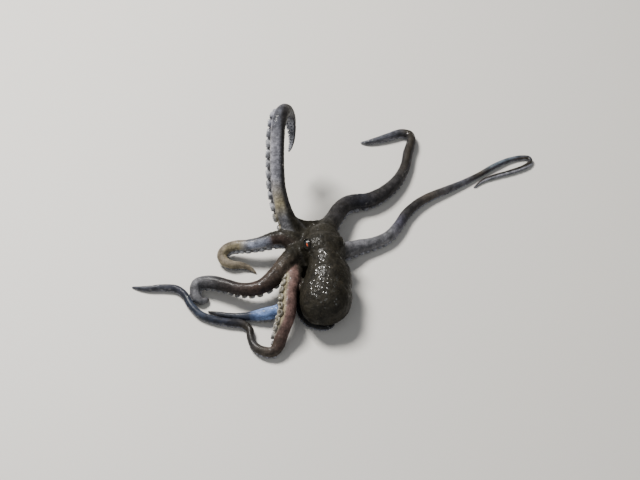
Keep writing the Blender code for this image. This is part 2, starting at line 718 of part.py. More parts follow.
def funnel_parts():
    """The funnel's tube with its open end, and a thicker copy that clears room for it."""
    axis = FUNNEL_END - FUNNEL_START
    length = axis.length
    wide, narrow = FUNNEL_RADII
    waist, waist_size = FUNNEL_WAIST
    profile = (
        (0.0, wide),
        (waist * length, waist_size * wide),
        (FUNNEL_NECK * length, narrow),
        (length, FUNNEL_LIP * narrow),
        (length, FUNNEL_BORE),
        (length - FUNNEL_DEPTH, FUNNEL_BORE_END * FUNNEL_BORE),
        (length - FUNNEL_DEPTH - GAP, 0),
    )
    tube = turned("funnel", FUNNEL_START, axis, profile, FUNNEL_SIDES)
    room = (
        (-GAP, wide + GAP),
        (FUNNEL_NECK * length, narrow + FUNNEL_ROOM),
        (length + FUNNEL_ROOM, FUNNEL_LIP * narrow + FUNNEL_ROOM),
    )
    return tube, turned("room", FUNNEL_START, axis, room, FUNNEL_SIDES)


def build_body(arms):
    body = blended_body(arms)
    clearings = []
    for arm in arms.values():
        clearings.append(arm.tube("clearing", arm.cuts[0], arm.length, ARM_CLEARANCE))
    funnel, room = funnel_parts()
    for clearing in clearings + [room]:
        boolean(body, "DIFFERENCE", [clearing], "MANIFOLD")
    keep_largest(body)

    mantle = duplicate(body, "mantle")
    boolean(mantle, "INTERSECT", [mantle_zone(0.0)], "MANIFOLD")
    boolean(body, "DIFFERENCE", [mantle_zone(GAP)], "MANIFOLD")

    centre, sizes = HEAD_CUT
    head = duplicate(body, "head")
    boolean(head, "INTERSECT", [ellipsoid("cap", centre, sizes, *CAP_MESH)], "MANIFOLD")
    grown = [s + GAP for s in sizes]
    crown = body
    crown.name = "arm_crown"
    boolean(crown, "DIFFERENCE", [ellipsoid("cap", centre, grown, *CAP_MESH)], "MANIFOLD")
    for node in (mantle, head, crown):
        keep_largest(node)

    for name, (mound, look) in EYES.items():
        ball, lid, socket = eye_parts(name, mound, look)
        boolean(head, "UNION", [lid])
        boolean(head, "DIFFERENCE", [socket])
        finish_node(ball, EYE_SKIN)
    keep_largest(head)

    first, margin = CROWN_SUCKERS
    cups = []
    for arm in arms.values():
        cups += arm.suckers(first, arm.cuts[0] - margin)
    lips = [(height, share * MOUTH_RADIUS) for height, share in LIPS]
    cups.append(turned("lips", MOUTH, DOWN, lips, MOUTH_SIDES))
    boolean(crown, "UNION", cups)
    keep_largest(crown)
    for node in (mantle, head, crown, funnel):
        level_on_floor(node)
        finish_node(node, DARK_SKIN)


def build_arm(arm):
    """The arm's lengths, each with its suckers fused to it."""
    bounds = list(arm.cuts) + [arm.length]
    for i, (start, end) in enumerate(zip(bounds, bounds[1:])):
        last = i == len(bounds) - 2
        low = start + GAP
        node = arm.tube(f"{arm.name}_{'tip' if last else i + 1}", low, end)
        boolean(node, "UNION", arm.suckers(low, end))
        keep_largest(node)
        level_on_floor(node)
        finish_node(node, arm.skin)


def main():
    clear_scene()
    arms = {name: Arm(name, facts) for name, facts in ARMS.items()}
    build_body(arms)
    for arm in arms.values():
        build_arm(arm)


main()
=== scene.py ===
"""The looks of a small long-armed octopus: one wet skin over the body, its webs and all eight arms, with
fine suckers, eyes under lids and a mouth, on a pale floor in soft light.

Sizes and places are in millimetres, in the frame of the photograph's view: +X to the right, +Y away from
the viewer, +Z up, with the floor at Z = 0. CENTRE is the middle of the animal's footprint, which is the
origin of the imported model.
"""

import math
import random
from contextlib import contextmanager

import bmesh
import bpy
import numpy as np
from mathutils import Matrix, Vector, noise


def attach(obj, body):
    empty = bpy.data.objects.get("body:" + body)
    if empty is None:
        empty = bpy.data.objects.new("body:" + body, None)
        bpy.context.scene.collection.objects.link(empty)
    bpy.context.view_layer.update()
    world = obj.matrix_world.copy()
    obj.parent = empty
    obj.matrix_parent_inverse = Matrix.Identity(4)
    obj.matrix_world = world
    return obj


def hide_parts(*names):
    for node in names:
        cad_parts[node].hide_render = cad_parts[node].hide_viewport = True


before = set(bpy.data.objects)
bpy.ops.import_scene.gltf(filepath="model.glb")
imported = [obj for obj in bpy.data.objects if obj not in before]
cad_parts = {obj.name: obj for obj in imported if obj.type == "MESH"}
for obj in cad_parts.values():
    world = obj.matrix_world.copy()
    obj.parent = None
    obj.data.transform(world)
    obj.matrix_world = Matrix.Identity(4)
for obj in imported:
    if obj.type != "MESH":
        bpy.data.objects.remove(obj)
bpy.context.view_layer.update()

MM = 0.001
CENTRE = Vector((7.93, 7.61, 0.0))
BODY = "root"
SEED = 7
DOWN = (0.0, 0.0, -1.0)

# Body: (centre, half sizes)
MANTLE = (
    ((2.1, -26.6, 7.9), (9.5, 10.9, 8.2)),
    ((3.1, -19.8, 8.6), (8.6, 11.4, 8.0)),
    ((2.5, -12.6, 9.1), (7.0, 8.0, 7.2)),
    ((-0.5, -28.4, 8.2), (6.9, 9.8, 6.0)),
)
HEAD_DOME = ((1.0, -6.4, 9.8), (8.1, 7.0, 7.2))
CROWN_DOME = ((-4.6, -2.6, 6.3), (8.4, 7.8, 4.6))
BROW = ((0.8, -2.4, 8.2), (7.4, 8.8, 6.8))
DOME_RINGS = 28
DOME_SIDES = 40

# Fold between mantle and head: a point on it and the way it faces, then its depth, width and the heights
# between which it fades out
NECK = (Vector((2.6, -12.8, 9.0)), Vector((0.08, -1.0, 0.0)).normalized())
NECK_FOLD = (0.55, 0.9, (6.5, 13.5))

# How far past its root an arm is part of the body's form, and how much thicker it is there
ROOT_OVERRUN = 2.5
ROOT_SWELL = 0.2

# Fusing: voxel sizes, and how often and how strongly the surfaces are smoothed
FORM_VOXEL = 0.6
FORM_SMOOTHING = 14
SKIN_VOXEL = 0.22
SKIN_SMOOTHING = 4
SMOOTHING_FACTOR = 0.5

# Eyes: mound centre and the way each eye looks, then the eyeball's distance out from there, and half the
# length and width of the opening between the lids
EYES = {
    "eye_left": (Vector((-3.5, -6.7, 12.6)), Vector((-0.44, -0.34, 0.83)).normalized()),
    "eye_right": (Vector((5.4, -6.2, 12.9)), Vector((0.93, 0.2, 0.3)).normalized()),
}
EYE_MOUND_RADIUS = 3.5
EYE_RADIUS = 2.1
EYE_OFFSET = 1.5
EYE_OPENING = (1.75, 1.1)
EYE_RINGS = 40
EYE_SIDES = 64

# Skin round an eye: how far out and how deep it is shaped, the distances between which that fades out, and
# how often its edges are cut. Then the lid's roll and the socket, by distance out from the opening's edge.
EYE_AREA = 4.6
EYE_DEPTH = 0.6
EYE_FADE = (3.0, 4.2)
EYE_CUTS = 2
LID_RISE = 0.42
LID_MIDDLE = 0.25
LID_WIDTH = 0.42
LID_REACH = 0.9
LID_OVERLAP = 0.24
LID_EDGE = (-0.16, 0.02)
SOCKET_SINK = 0.4

# Funnel, an open tube under the neck
FUNNEL_START = Vector((4.6, -14.2, 4.6))
FUNNEL_END = Vector((9.4, -9.6, 2.9))
FUNNEL_RADII = (2.2, 1.45)
FUNNEL_BORE = 0.8
FUNNEL_DEPTH = 2.2
FUNNEL_SIDES = 28

# Mouth, in the middle of the crown's underside: profiles of lips and beak as (height, radius), the lips'
# radii in shares of the mouth's, and the number and depth of the lips' folds
MOUTH = Vector((-4.4, -2.8, 1.8))
MOUTH_RADIUS = 2.1
LIP_PROFILE = (
    (-1.4, 0.85), (0.0, 0.98), (0.7, 1.0), (1.05, 0.86), (1.1, 0.7), (0.85, 0.52), (0.3, 0.42), (-0.5, 0),
)
LIP_SIDES = 48
LIP_FOLDS = (16, 0.035)
BEAK_PROFILE = ((-0.6, 0.8), (0.0, 0.72), (0.35, 0.5), (0.6, 0.22), (0.72, 0))
BEAK_SIDES = 24
BEAK_NARROWING = 0.6

# Arms: how finely they are made, how flat the sucker side is, and how high over the floor they rest, in
# shares of their radius
ARM_SIDES = 24
ARM_RING = 0.5
CURVE_STEPS = 24
RADIUS_SOFTENING = 10
ORAL_SOFTENING = 12
ORAL_FLATTENING = 0.14
REST_LIFT = 1.28

# Where skin turns into an arm's own, by distance past its root, and stops being so, by distance off its
# surface. ARM_REACH_CUT is how much less far off that is on the free arm, and the distances past the root
# between which it gets so. A tip's last stretch keeps its fused form.
ARM_MERGE = (-1.0, 2.0)
ARM_REACH = (0.35, 1.1)
ARM_REACH_CUT = (0.6, 2.0, 6.0)
ARM_TIP_FREE = 0.4

# Where the back's colour turns into the flank's, and that into the sucker side's: -1 is the middle of the
# back, and 1 that of the sucker side
BACK_TO_FLANK = (-0.95, -0.52)
FLANK_TO_ORAL = (0.25, 0.7)

# Suckers, in shares of the arm's radius or of their own size, but LIFT, LEAST, START and END in millimetres.
# LOBES are the number, size and widest turn of the waves round a rim.
SUCKER_ANGLE = math.radians(26.0)
SUCKER_SHARE = 0.44
SUCKER_HEIGHT = 0.4
SUCKER_LIFT = 0.12
SUCKER_SEAT = 0.97
SUCKER_SPACING = 1.16
SUCKER_LEAST = 0.16
SUCKER_LEAST_SPACING = 1.1
SUCKER_START = 4.5
SUCKER_END = 0.5
SUCKER_TILT = 0.12
SUCKER_SIZES = 0.08
SUCKER_LOBES = (3, 0.05, 6.0)
# A sucker's profile: (height, radius, paleness)
CUP_PROFILE = (
    (-1.0, 0.7, 0.0), (-0.2, 0.74, 0.05), (0.12, 0.84, 0.15), (0.36, 0.96, 0.35), (0.6, 1.01, 0.65),
    (0.8, 0.98, 0.9), (0.94, 0.89, 1.0), (1.0, 0.78, 1.0), (0.95, 0.66, 0.8), (0.8, 0.5, 0.55),
    (0.68, 0.36, 0.4), (0.56, 0.28, 0.2), (0.2, 0.26, 0.0), (0.1, 0.0, 0.0),
)
# Sides on thick arms and on thin ones, and the grooves inside the rim
CUP_SIDES = (30, 20)
THICK_ARM = 1.6
CUP_GROOVES = 8
CUP_GROOVE_DEPTH = 0.05
GROOVED_RADII = (0.35, 0.9)
GROOVED_PALENESS = 0.3

# Skin colours, linear RGB
BODY_DARK = (0.0132, 0.0116, 0.008)
NIGHT = (0.009, 0.009, 0.01)
SLATE = (0.024, 0.0225, 0.023)
SLATE_BLUE = (0.056, 0.054, 0.073)
SLATE_PALE = (0.058, 0.06, 0.072)
SLATE_WARM = (0.046, 0.039, 0.033)
FADED_BLUE = (0.1, 0.124, 0.15)
UMBER = (0.02, 0.017, 0.0135)
PLUM = (0.034, 0.022, 0.018)
PLUM_WARM = (0.105, 0.064, 0.056)
PLUM_PALE = (0.034, 0.026, 0.0195)
NAVY = (0.017, 0.019, 0.029)
NAVY_DARK = (0.013, 0.0135, 0.018)
STEEL = (0.155, 0.235, 0.45)
STEEL_DARK = (0.026, 0.033, 0.05)
ASH = (0.225, 0.225, 0.255)
ASH_DARK = (0.1, 0.1, 0.108)
ASH_WARM = (0.14, 0.118, 0.088)
PALE = (0.23, 0.228, 0.235)
PALE_WARM = (0.21, 0.182, 0.115)
LAVENDER = (0.2, 0.216, 0.27)
SUCKER_RIM = (0.25, 0.258, 0.28)
ROOT_COLOURS = (0.0, BODY_DARK, ASH_WARM)

# The arms in their order round the crown. "route" runs from the crown to the tip: X, Y, Z and the arm's
# radius at each point, without Z where the arm lies on the floor. "oral" gives the way that the sucker side
# faces, and "root" the point where the arm leaves the crown. Both count along the route's points. "colours"
# are those of the back, the flank and the sucker side at shares of the length, without the flank's where it
# is the back's. "cup" is the size of the suckers, and "rims" how much paler their rims are than the skin.
ARM_DEFAULTS = {"root": 3, "cup": 1.0, "rims": 0.8}
ARMS = {}
ARMS["arm_left_1"] = {
    "route": (
        (-5.2, 0.2, 6.4, 3.6), (-9.2, 2.9, 8.4, 3.5), (-12.2, 6.2, 11.6, 3.3), (-14.2, 10.6, 15.4, 3.1),
        (-15.6, 15.2, 19.9, 2.95), (-16.1, 20.9, 26.2, 2.9), (-16.1, 25.0, 30.0, 2.9),
        (-15.9, 29.2, 33.3, 2.9), (-15.4, 33.4, 35.6, 2.85), (-14.3, 38.0, 35.9, 2.75),
        (-13.2, 42.2, 33.6, 2.6), (-12.2, 45.1, 30.0, 2.3), (-11.3, 46.4, 25.8, 1.95),
        (-10.8, 45.4, 21.7, 1.55), (-10.7, 42.4, 18.6, 1.1), (-11.3, 38.9, 17.2, 0.7),
        (-12.0, 36.2, 17.6, 0.3),
    ),
    "oral": (
        (0, DOWN), (2, (-0.85, 0.3, -0.45)), (4, (-1, 0.3, -0.2)), (7, (-1, 0.1, -0.3)),
        (9, (-0.8, -0.1, -0.6)), (12, (-0.5, -0.85, 0)), (16, (-0.2, -0.3, 0.9)),
    ),
    "cup": 1.25,
    "colours": (
        (0.15, BODY_DARK, ASH_DARK, PALE_WARM), (0.22, SLATE, PALE_WARM, PALE), (0.34, SLATE, ASH, PALE),
        (0.5, NIGHT, ASH, PALE), (0.57, SLATE, SLATE_PALE, ASH), (1.0, NIGHT, SLATE, ASH),
    ),
}
ARMS["arm_left_2"] = {
    "route": (
        (-6.6, -2.0, 6.4, 3.6), (-10.2, -0.6, 8.4, 3.3), (-14.4, 0.2, 8.8, 3.0), (-18.8, -0.4, 8.0, 2.7),
        (-22.6, -1.1, 7.2, 2.4), (-27.0, -1.4, 6.4, 2.25), (-31.4, -0.9, 5.4, 2.2), (-34.8, -1.2, 4.0, 2.1),
        (-36.4, -3.2, 2.9, 1.9), (-35.2, -5.8, 1.75), (-32.4, -7.0, 1.6), (-29.0, -7.0, 1.3),
        (-25.8, -8.0, 0.8), (-23.6, -9.6, 0.3),
    ),
    "oral": ((0, DOWN), (3, (0, -0.6, -0.8)), (6, (0, -0.6, -0.8)), (8, (0.5, 0, -0.85)), (13, DOWN)),
    "colours": (
        (0.24, BODY_DARK, PLUM, ASH), (0.31, SLATE, LAVENDER, PALE), (0.42, SLATE_PALE, LAVENDER, PALE),
        (0.5, ASH_WARM, PALE_WARM, PALE), (1.0, ASH_WARM, PALE),
    ),
}
ARMS["arm_left_3"] = {
    "route": (
        (-6.2, -4.6, 6.4, 3.7), (-8.8, -6.8, 8.2, 3.6), (-11.2, -10.6, 9.0, 3.5), (-14.1, -15.0, 8.8, 3.4),
        (-17.4, -18.8, 8.1, 3.1), (-20.8, -21.2, 7.3, 2.8), (-24.6, -22.1, 6.7, 2.55),
        (-29.0, -21.4, 6.0, 2.35), (-33.6, -19.4, 5.4, 2.35), (-38.5, -17.5, 4.8, 2.5),
        (-42.2, -16.9, 4.2, 2.4), (-44.6, -17.4, 3.7, 2.15), (-45.4, -19.6, 3.0, 1.95),
        (-44.8, -22.2, 1.75), (-43.0, -23.6, 1.4), (-41.2, -22.8, 1.0), (-41.2, -21.2, 0.3),
    ),
    "oral": ((0, DOWN), (9, DOWN), (12, (0.8, 0, -0.6)), (14, (0, 0.6, -0.8)), (16, (-0.6, 0, -0.8))),
    "root": 4,
    "colours": (
        (0.13, BODY_DARK, UMBER, ASH_WARM), (0.22, PLUM_PALE, PALE_WARM), (0.42, PLUM, PALE_WARM),
        (0.66, SLATE, PALE), (0.8, ASH_DARK, PALE), (1.0, ASH_DARK, PALE),
    ),
}
ARMS["arm_left_4"] = {
    "route": (
        (-5.4, -5.6, 5.0, 3.4), (-7.4, -9.6, 6.0, 3.2), (-9.2, -14.6, 7.2, 3.05), (-10.0, -20.2, 8.4, 2.95),
        (-10.9, -24.8, 8.9, 2.95), (-11.2, -29.9, 8.9, 2.95), (-11.5, -34.2, 7.9, 2.9),
        (-12.8, -38.0, 6.2, 2.75), (-14.0, -41.6, 4.4, 2.5), (-14.6, -44.2, 3.2, 2.2), (-16.4, -46.2, 1.85),
        (-20.0, -45.8, 1.7), (-23.0, -43.4, 1.5), (-24.5, -39.6, 1.35), (-25.0, -36.2, 1.35),
        (-27.6, -33.8, 1.35), (-32.8, -33.0, 1.35), (-38.0, -31.8, 1.3), (-43.0, -29.4, 1.3),
        (-46.8, -25.0, 1.3), (-49.2, -20.6, 1.3), (-52.4, -17.8, 1.25), (-57.0, -17.2, 1.2),
        (-62.4, -17.4, 1.0), (-66.2, -17.0, 0.7), (-69.0, -16.2, 0.25),
    ),
    "oral": (
        (0, DOWN), (2, (-0.75, 0, -0.5)), (3, (-0.95, 0, 0.2)), (7, (-0.95, -0.1, 0.2)),
        (9, (-0.6, 0, -0.7)), (10, DOWN), (25, DOWN),
    ),
    "rims": 0.4,
    "colours": (
        (0.12, UMBER, PLUM_WARM, PALE_WARM), (0.3, PLUM_WARM, PALE_WARM), (0.38, PLUM, PLUM_PALE, PALE),
        (0.43, SLATE_WARM, ASH), (0.47, SLATE, ASH), (0.55, UMBER, ASH), (0.62, NAVY, ASH),
        (0.72, STEEL_DARK, ASH), (0.8, NAVY, ASH), (1.0, SLATE_PALE, ASH),
    ),
}
ARMS["arm_right_4"] = {
    "route": (
        (-5.0, -5.4, 4.4, 2.8), (-7.6, -10.2, 3.6, 2.5), (-9.8, -15.2, 2.2), (-11.0, -20.0, 2.1),
        (-12.2, -25.0, 2.15), (-14.8, -28.8, 2.3), (-18.6, -30.2, 2.4), (-22.2, -30.6, 2.0),
        (-25.4, -30.6, 1.55), (-28.6, -30.5, 1.3), (-32.4, -30.1, 1.15), (-36.6, -29.0, 0.95),
        (-40.4, -27.4, 0.3),
    ),
    "oral": ((0, DOWN), (12, DOWN)),
    "colours": (
        (0.4, STEEL_DARK, ASH), (0.52, STEEL, PALE), (0.63, STEEL, PALE), (0.7, STEEL_DARK, ASH),
        (1.0, SLATE, ASH),
    ),
}
ARMS["arm_right_3"] = {
    "route": (
        (-3.6, -6.6, 4.4, 2.6), (-4.6, -10.8, 3.6, 2.1), (-5.6, -15.6, 1.7), (-6.3, -20.0, 1.6),
        (-6.9, -24.6, 1.5), (-6.5, -29.2, 1.45), (-3.8, -33.0, 1.35), (0.0, -34.8, 1.15), (2.6, -34.7, 0.9),
        (4.4, -33.4, 0.6), (5.2, -32.0, 0.3),
    ),
    "oral": ((0, DOWN), (4, DOWN), (6, (0, -0.5, -0.85)), (8, (0.2, -0.5, -0.85)), (10, (0.4, 0, -0.9))),
    "colours": ((0.3, NIGHT, SLATE_PALE), (1.0, SLATE, NIGHT, SLATE_PALE)),
}
ARMS["arm_right_2"] = {
    "route": (
        (-2.0, -3.6, 5.0, 3.7), (2.6, -4.2, 5.0, 3.5), (7.0, -3.4, 5.0, 3.2), (11.0, -1.4, 4.2, 3.0),
        (14.9, 0.8, 2.6), (20.4, 2.9, 2.2), (25.6, 6.1, 2.1), (29.5, 11.3, 1.95), (32.6, 17.2, 1.85),
        (36.6, 22.2, 1.75), (41.6, 26.4, 1.6), (48.8, 30.6, 1.4), (56.0, 34.8, 1.15), (63.0, 39.5, 0.95),
        (69.6, 44.2, 1.05), (75.8, 47.7, 0.9), (80.6, 49.0, 0.85), (83.6, 48.6, 0.85), (84.0, 46.6, 0.85),
        (81.4, 44.0, 0.85), (75.6, 41.3, 0.8), (69.0, 38.9, 0.75), (64.2, 36.7, 0.6), (60.4, 33.2, 0.25),
    ),
    "oral": ((0, DOWN), (16, DOWN), (19, (0.1, -0.95, -0.1)), (23, (0.1, -0.95, -0.1))),
    "colours": (
        (0.07, BODY_DARK, ASH), (0.1, ASH_DARK, ASH), (0.23, ASH_DARK, ASH), (0.28, SLATE_BLUE, ASH),
        (0.32, SLATE, ASH), (0.37, SLATE, ASH), (0.42, SLATE_WARM, ASH), (0.54, SLATE_PALE, ASH),
        (0.61, SLATE_WARM, ASH), (0.67, FADED_BLUE, SLATE_PALE, ASH), (0.71, FADED_BLUE, SLATE_PALE, ASH),
        (0.76, SLATE_PALE, SLATE_WARM, ASH), (0.86, SLATE, UMBER, ASH), (1.0, SLATE, UMBER, ASH),
    ),
}
ARMS["arm_right_1"] = {
    "route": (
        (-2.6, 0.0, 5.6, 3.8), (1.1, 3.3, 6.9, 3.7), (3.5, 7.7, 7.1, 3.5), (5.5, 12.2, 6.4, 3.2),
        (7.5, 16.9, 5.6, 3.1), (9.9, 20.4, 4.8, 3.1), (13.5, 22.5, 3.1), (18.0, 23.4, 2.9),
        (23.2, 26.4, 2.75), (27.0, 30.2, 2.5), (31.0, 36.0, 2.2), (33.8, 43.0, 1.95), (35.2, 50.2, 1.95),
        (36.8, 56.4, 1.9), (36.3, 60.6, 1.7), (32.8, 61.8, 1.6), (28.2, 60.1, 1.5), (23.4, 58.4, 1.25),
        (19.0, 57.4, 0.9), (16.4, 57.8, 0.3),
    ),
    "oral": ((0, DOWN), (15, DOWN), (19, (0, -0.4, -0.9))),
    "root": 4,
    # The sucker side's paling towards the tip is partly the arm's own colour and partly painted highlight
    # for the glints on its suckers.
    "colours": (
        (0.08, BODY_DARK, ASH), (0.13, SLATE, ASH), (0.22, SLATE, ASH), (0.32, NAVY_DARK, ASH_DARK),
        (0.38, SLATE, ASH_DARK), (0.5, SLATE, ASH_DARK), (0.62, UMBER, NAVY_DARK, ASH),
        (0.8, UMBER, SLATE, ASH), (0.86, SLATE_PALE, ASH), (1.0, SLATE_PALE, PALE),
    ),
}

# Webs, each from an arm to the next round the crown, beginning with the one from the last arm to the first:
# how far along the two arms it reaches, and how deep its free edge dips
WEBS = (
    (16.0, 0.26), (13.0, 0.4), (12.5, 0.38), (13.0, 0.3), (11.0, 0.3), (10.0, 0.3), (9.0, 0.4), (13.0, 0.45),
)
WEB_THICKNESS = 2.0
WEB_CELLS = (12, 10)

# Surface relief of the skin: (wavelength, height, seed)
BODY_FOLDS = (3.4, 0.16, 0.0)
BODY_GRAIN = (1.3, 0.12, 31.0)
FINE_GRAIN = (0.65, 0.06, 57.0)
ARM_GRAIN = (0.9, 0.06, 11.0)

# Rings round the arms: wavelength and height, how much longer than wide they are, and how far apart the
# arms are in the noise. Then the radius from which an arm has its full relief, and the least share of it.
ARM_RINGS = (0.85, 0.045)
RING_STRETCH = 4
ARMS_APART = 10.0
FULL_RELIEF = 2.5
LEAST_RELIEF = 0.15

# Wrinkles on the inner side of an arm's bends: spacing, depth as a share of the radius, the noise that they
# follow, and how much shorter the skin is there when they start and when they are full
WRINKLE_PITCH = 0.95
WRINKLE_DEPTH = 0.05
WRINKLE_WANDER = (2.0, 0.35, 91.0)
WRINKLED = (0.22, 0.6)

# Water beads: their share of the arms, the arms' last parts, the suckers, the flanks and the skin round the
# eyes, and between which shares of its length an arm's last part begins. Then the mantle's back, where most
# of them stand: its middle and half width, its heights, and how far towards the viewer it begins.
ARM_BEADS = 0.45
TIP_BEADS = 0.95
BEADED_TIP = (0.82, 0.9)
SUCKER_BEADS = 0.7
FLANK_BEADS = 0.2
EYE_BEADS = 0.5
BEADED_BACK = (0.6, 5.0)
BEADED_HEIGHTS = (11.0, 14.0)
BEADED_FROM = (6.5, 10.0)

# Skin texture: widths and depths of its parts, the light spots' colour and the shade of the dark ones
MOTTLES = 2.6
FINE_MOTTLES = 0.55
LIGHT_SPOTS = 0.62
SPOT_PATCHES = 4.5
DARK_SPOTS = 0.48
WET_PATCHES = 3.2
ROUGH_PATCHES = 1.8
PORES = 0.35
BUMPS = 0.7
BEAD_SPACING = 1.5
BEAD_SIZE = 0.36
PORE_DEPTH = 0.05
BUMP_DEPTH = 0.08
FILM_DEPTH = 0.05
BEAD_HEIGHT = 0.11
SPOT_COLOUR = (0.16, 0.115, 0.075)
SPOT_SHADE = (0.3, 0.26, 0.24)

# Eyeball: middle and half sizes of slit, fleck and iris, in shares of its radius, and their colours. The
# iris is orange-gold: its dark colour and near-black rim are painted shade, and its copper shows only in the
# fleck.
# Then the beak's colours.
SLIT = ((0.05, 0.12), (0.5, 0.12))
FLECK = ((-0.3, -0.14), (0.34, 0.13))
IRIS = ((0.0, 0.0), (1.0, 1.0))
SLIT_BLACK = (0.003, 0.003, 0.004)
IRIS_RIM_PAINTED_SHADE = (0.006, 0.006, 0.006)
IRIS_PAINTED_SHADE = ((0.006, 0.009, 0.009), (0.016, 0.022, 0.019))
COPPER = ((0.34, 0.03, 0.008), (0.6, 0.11, 0.03))
HORN = ((0.03, 0.014, 0.006), (0.09, 0.04, 0.018))

# Camera: the photograph's viewing angle, with NEAR in metres
CAMERA_PLACE = Vector((0.0, -289.25, 352.7))
CAMERA_ELEVATION = 50.0
CAMERA_LENS = 68.34
CAMERA_SENSOR = 36.0
CAMERA_NEAR = 0.01

# Lights: place, what it points at, size across and along in metres, power in watts, colour
LIGHTS = {
    "key": ((-272, 283, 523), (0, -15, 8), (0.2, 0.2), 9.0, (1.0, 0.975, 0.94)),
    "fill": ((120, -620, 560), (0, 0, 5), (2.4, 1.8), 6.0, (0.95, 0.97, 1.0)),
}
WORLD = ((0.9, 0.94, 1.0), 0.13)

# Floor: its colour, with the shade and width of its darker tones, and its size and drop in metres
FLOOR_COLOUR = (0.66, 0.64, 0.6)
FLOOR_SHADE = 0.97
FLOOR_TONES = 240.0
FLOOR_SIZE = 3.0
FLOOR_DROP = 0.00002


# Small helpers


def smooth_step(values, low, high):
    share = np.clip((values - low) / (high - low), 0.0, 1.0)
    return share * share * (3.0 - 2.0 * share)


def blend(first, second, share):
    return first * (1 - share) + second * share


def to_metres(points):
    return (np.asarray(points, float) - np.array(CENTRE)) * MM


def new_object(name, mesh):
    obj = bpy.data.objects.new(name, mesh)
    bpy.context.scene.collection.objects.link(obj)
    return obj


def mesh_object(name, forms):
    """One object of closed forms. Each is its points, in millimetres, and its faces."""
    points, faces = [], []
    for own_points, own_faces in forms:
        first = len(points)
        points.extend(tuple(point) for point in own_points)
        faces.extend(tuple(first + i for i in face) for face in own_faces)
    mesh = bpy.data.meshes.new(name)
    mesh.from_pydata(to_metres(points).tolist(), [], faces)
    mesh.update()
    return new_object(name, mesh)


def ring_faces(rings):
    """Faces that join one ring of points, or a single point, to the next, and close the two ends."""
    faces = []
    for low, high in zip(rings, rings[1:]):
        sides = max(len(low), len(high))
        for i in range(sides):
            j = (i + 1) % sides
            square = (low[i % len(low)], low[j % len(low)], high[j % len(high)], high[i % len(high)])
            faces.append(tuple(dict.fromkeys(square)))
    for end in (rings[0], rings[-1]):
        if len(end) > 2:
            faces.append(tuple(end))
    return faces


def turned(base, axis, profile, sides, towards=Vector((1.0, 0.3, 0.1))):
    """Points and faces of a form turned about axis. Each profile pair is (height, radius)."""
    axis = axis.normalized()
    across = (towards - axis * towards.dot(axis)).normalized()
    side = axis.cross(across)
    points, rings = [], []
    for height, radius in profile:
        centre = base + axis * height
        count = sides if radius else 1
        rings.append(list(range(len(points), len(points) + count)))
        for i in range(count):
            angle = 2 * math.pi * i / sides
            points.append(centre + (across * math.cos(angle) + side * math.sin(angle)) * radius)
    return points, ring_faces(rings)


def ball_profile(radius, rings):
    angles = [math.pi * i / rings for i in range(1, rings)]
    around = [(-radius * math.cos(angle), radius * math.sin(angle)) for angle in angles]
    return [(-radius, 0), *around, (radius, 0)]


def ellipsoid(centre, half_sizes):
    profile = ball_profile(1.0, DOME_RINGS)
    points, faces = turned(Vector((0, 0, 0)), Vector((0, 0, 1)), profile, DOME_SIDES, Vector((1, 0, 0)))
    size = Matrix.Diagonal(half_sizes)
    return [size @ p + Vector(centre) for p in points], faces


def fuse(obj, voxel, passes, levels=0):
    """Makes one smooth closed surface of the mesh, and divides it levels times."""
    fused = obj.modifiers.new("fused", "REMESH")
    fused.mode = "VOXEL"
    fused.voxel_size = voxel * MM
    smoothed = obj.modifiers.new("smoothed", "SMOOTH")
    smoothed.factor = SMOOTHING_FACTOR
    smoothed.iterations = passes
    divided = obj.modifiers.new("divided", "SUBSURF")
    divided.levels = divided.render_levels = levels
    bpy.context.view_layer.update()
    graph = bpy.context.evaluated_depsgraph_get()
    mesh = bpy.data.meshes.new_from_object(obj.evaluated_get(graph))
    obj.modifiers.clear()
    obj.data = mesh


@contextmanager
def edited(obj):
    """Opens the object's mesh for changes, and gives it the changed one."""
    shape = bmesh.new()
    shape.from_mesh(obj.data)
    yield shape
    shape.to_mesh(obj.data)
    shape.free()


def read_rows(data, field):
    flat = np.empty(len(data) * 3, np.float32)
    data.foreach_get(field, flat)
    return flat.reshape(-1, 3).astype(float)


def write_points(obj, points):
    obj.data.vertices.foreach_set("co", to_metres(points).ravel())
    obj.data.update()


def keep_largest(obj):
    """Leaves only the largest closed surface of the mesh."""
    with edited(obj) as shape:
        unseen = set(shape.verts)
        largest = []
        while unseen:
            shell = [unseen.pop()]
            for vertex in shell:
                for edge in vertex.link_edges:
                    other = edge.other_vert(vertex)
                    if other in unseen:
                        unseen.remove(other)
                        shell.append(other)
            largest = max(largest, shell, key=len)
        kept = set(largest)
        bmesh.ops.delete(shape, geom=[v for v in shape.verts if v not in kept], context="VERTS")


def noise_at(points, wavelength, height, seed=0.0):
    """Smooth noise at each point, from -height to height."""
    scaled = (points / wavelength + seed).tolist()
    return height * np.array([noise.noise(p) for p in scaled])


def dress(obj, material, **marks):
    """Gives a mesh smooth shading, its material and the marks at its points that the material reads."""
    for name, rows in marks.items():
        rows = np.asarray(rows, np.float32)
        if rows.ndim == 1:
            obj.data.attributes.new(name, "FLOAT", "POINT").data.foreach_set("value", rows)
        else:
            rgba = np.hstack([rows, np.ones((len(rows), 1), np.float32)])
            obj.data.attributes.new(name, "FLOAT_COLOR", "POINT").data.foreach_set("color", rgba.ravel())
    obj.data.shade_smooth()
    obj.data.materials.append(material)
    return obj


# Arms


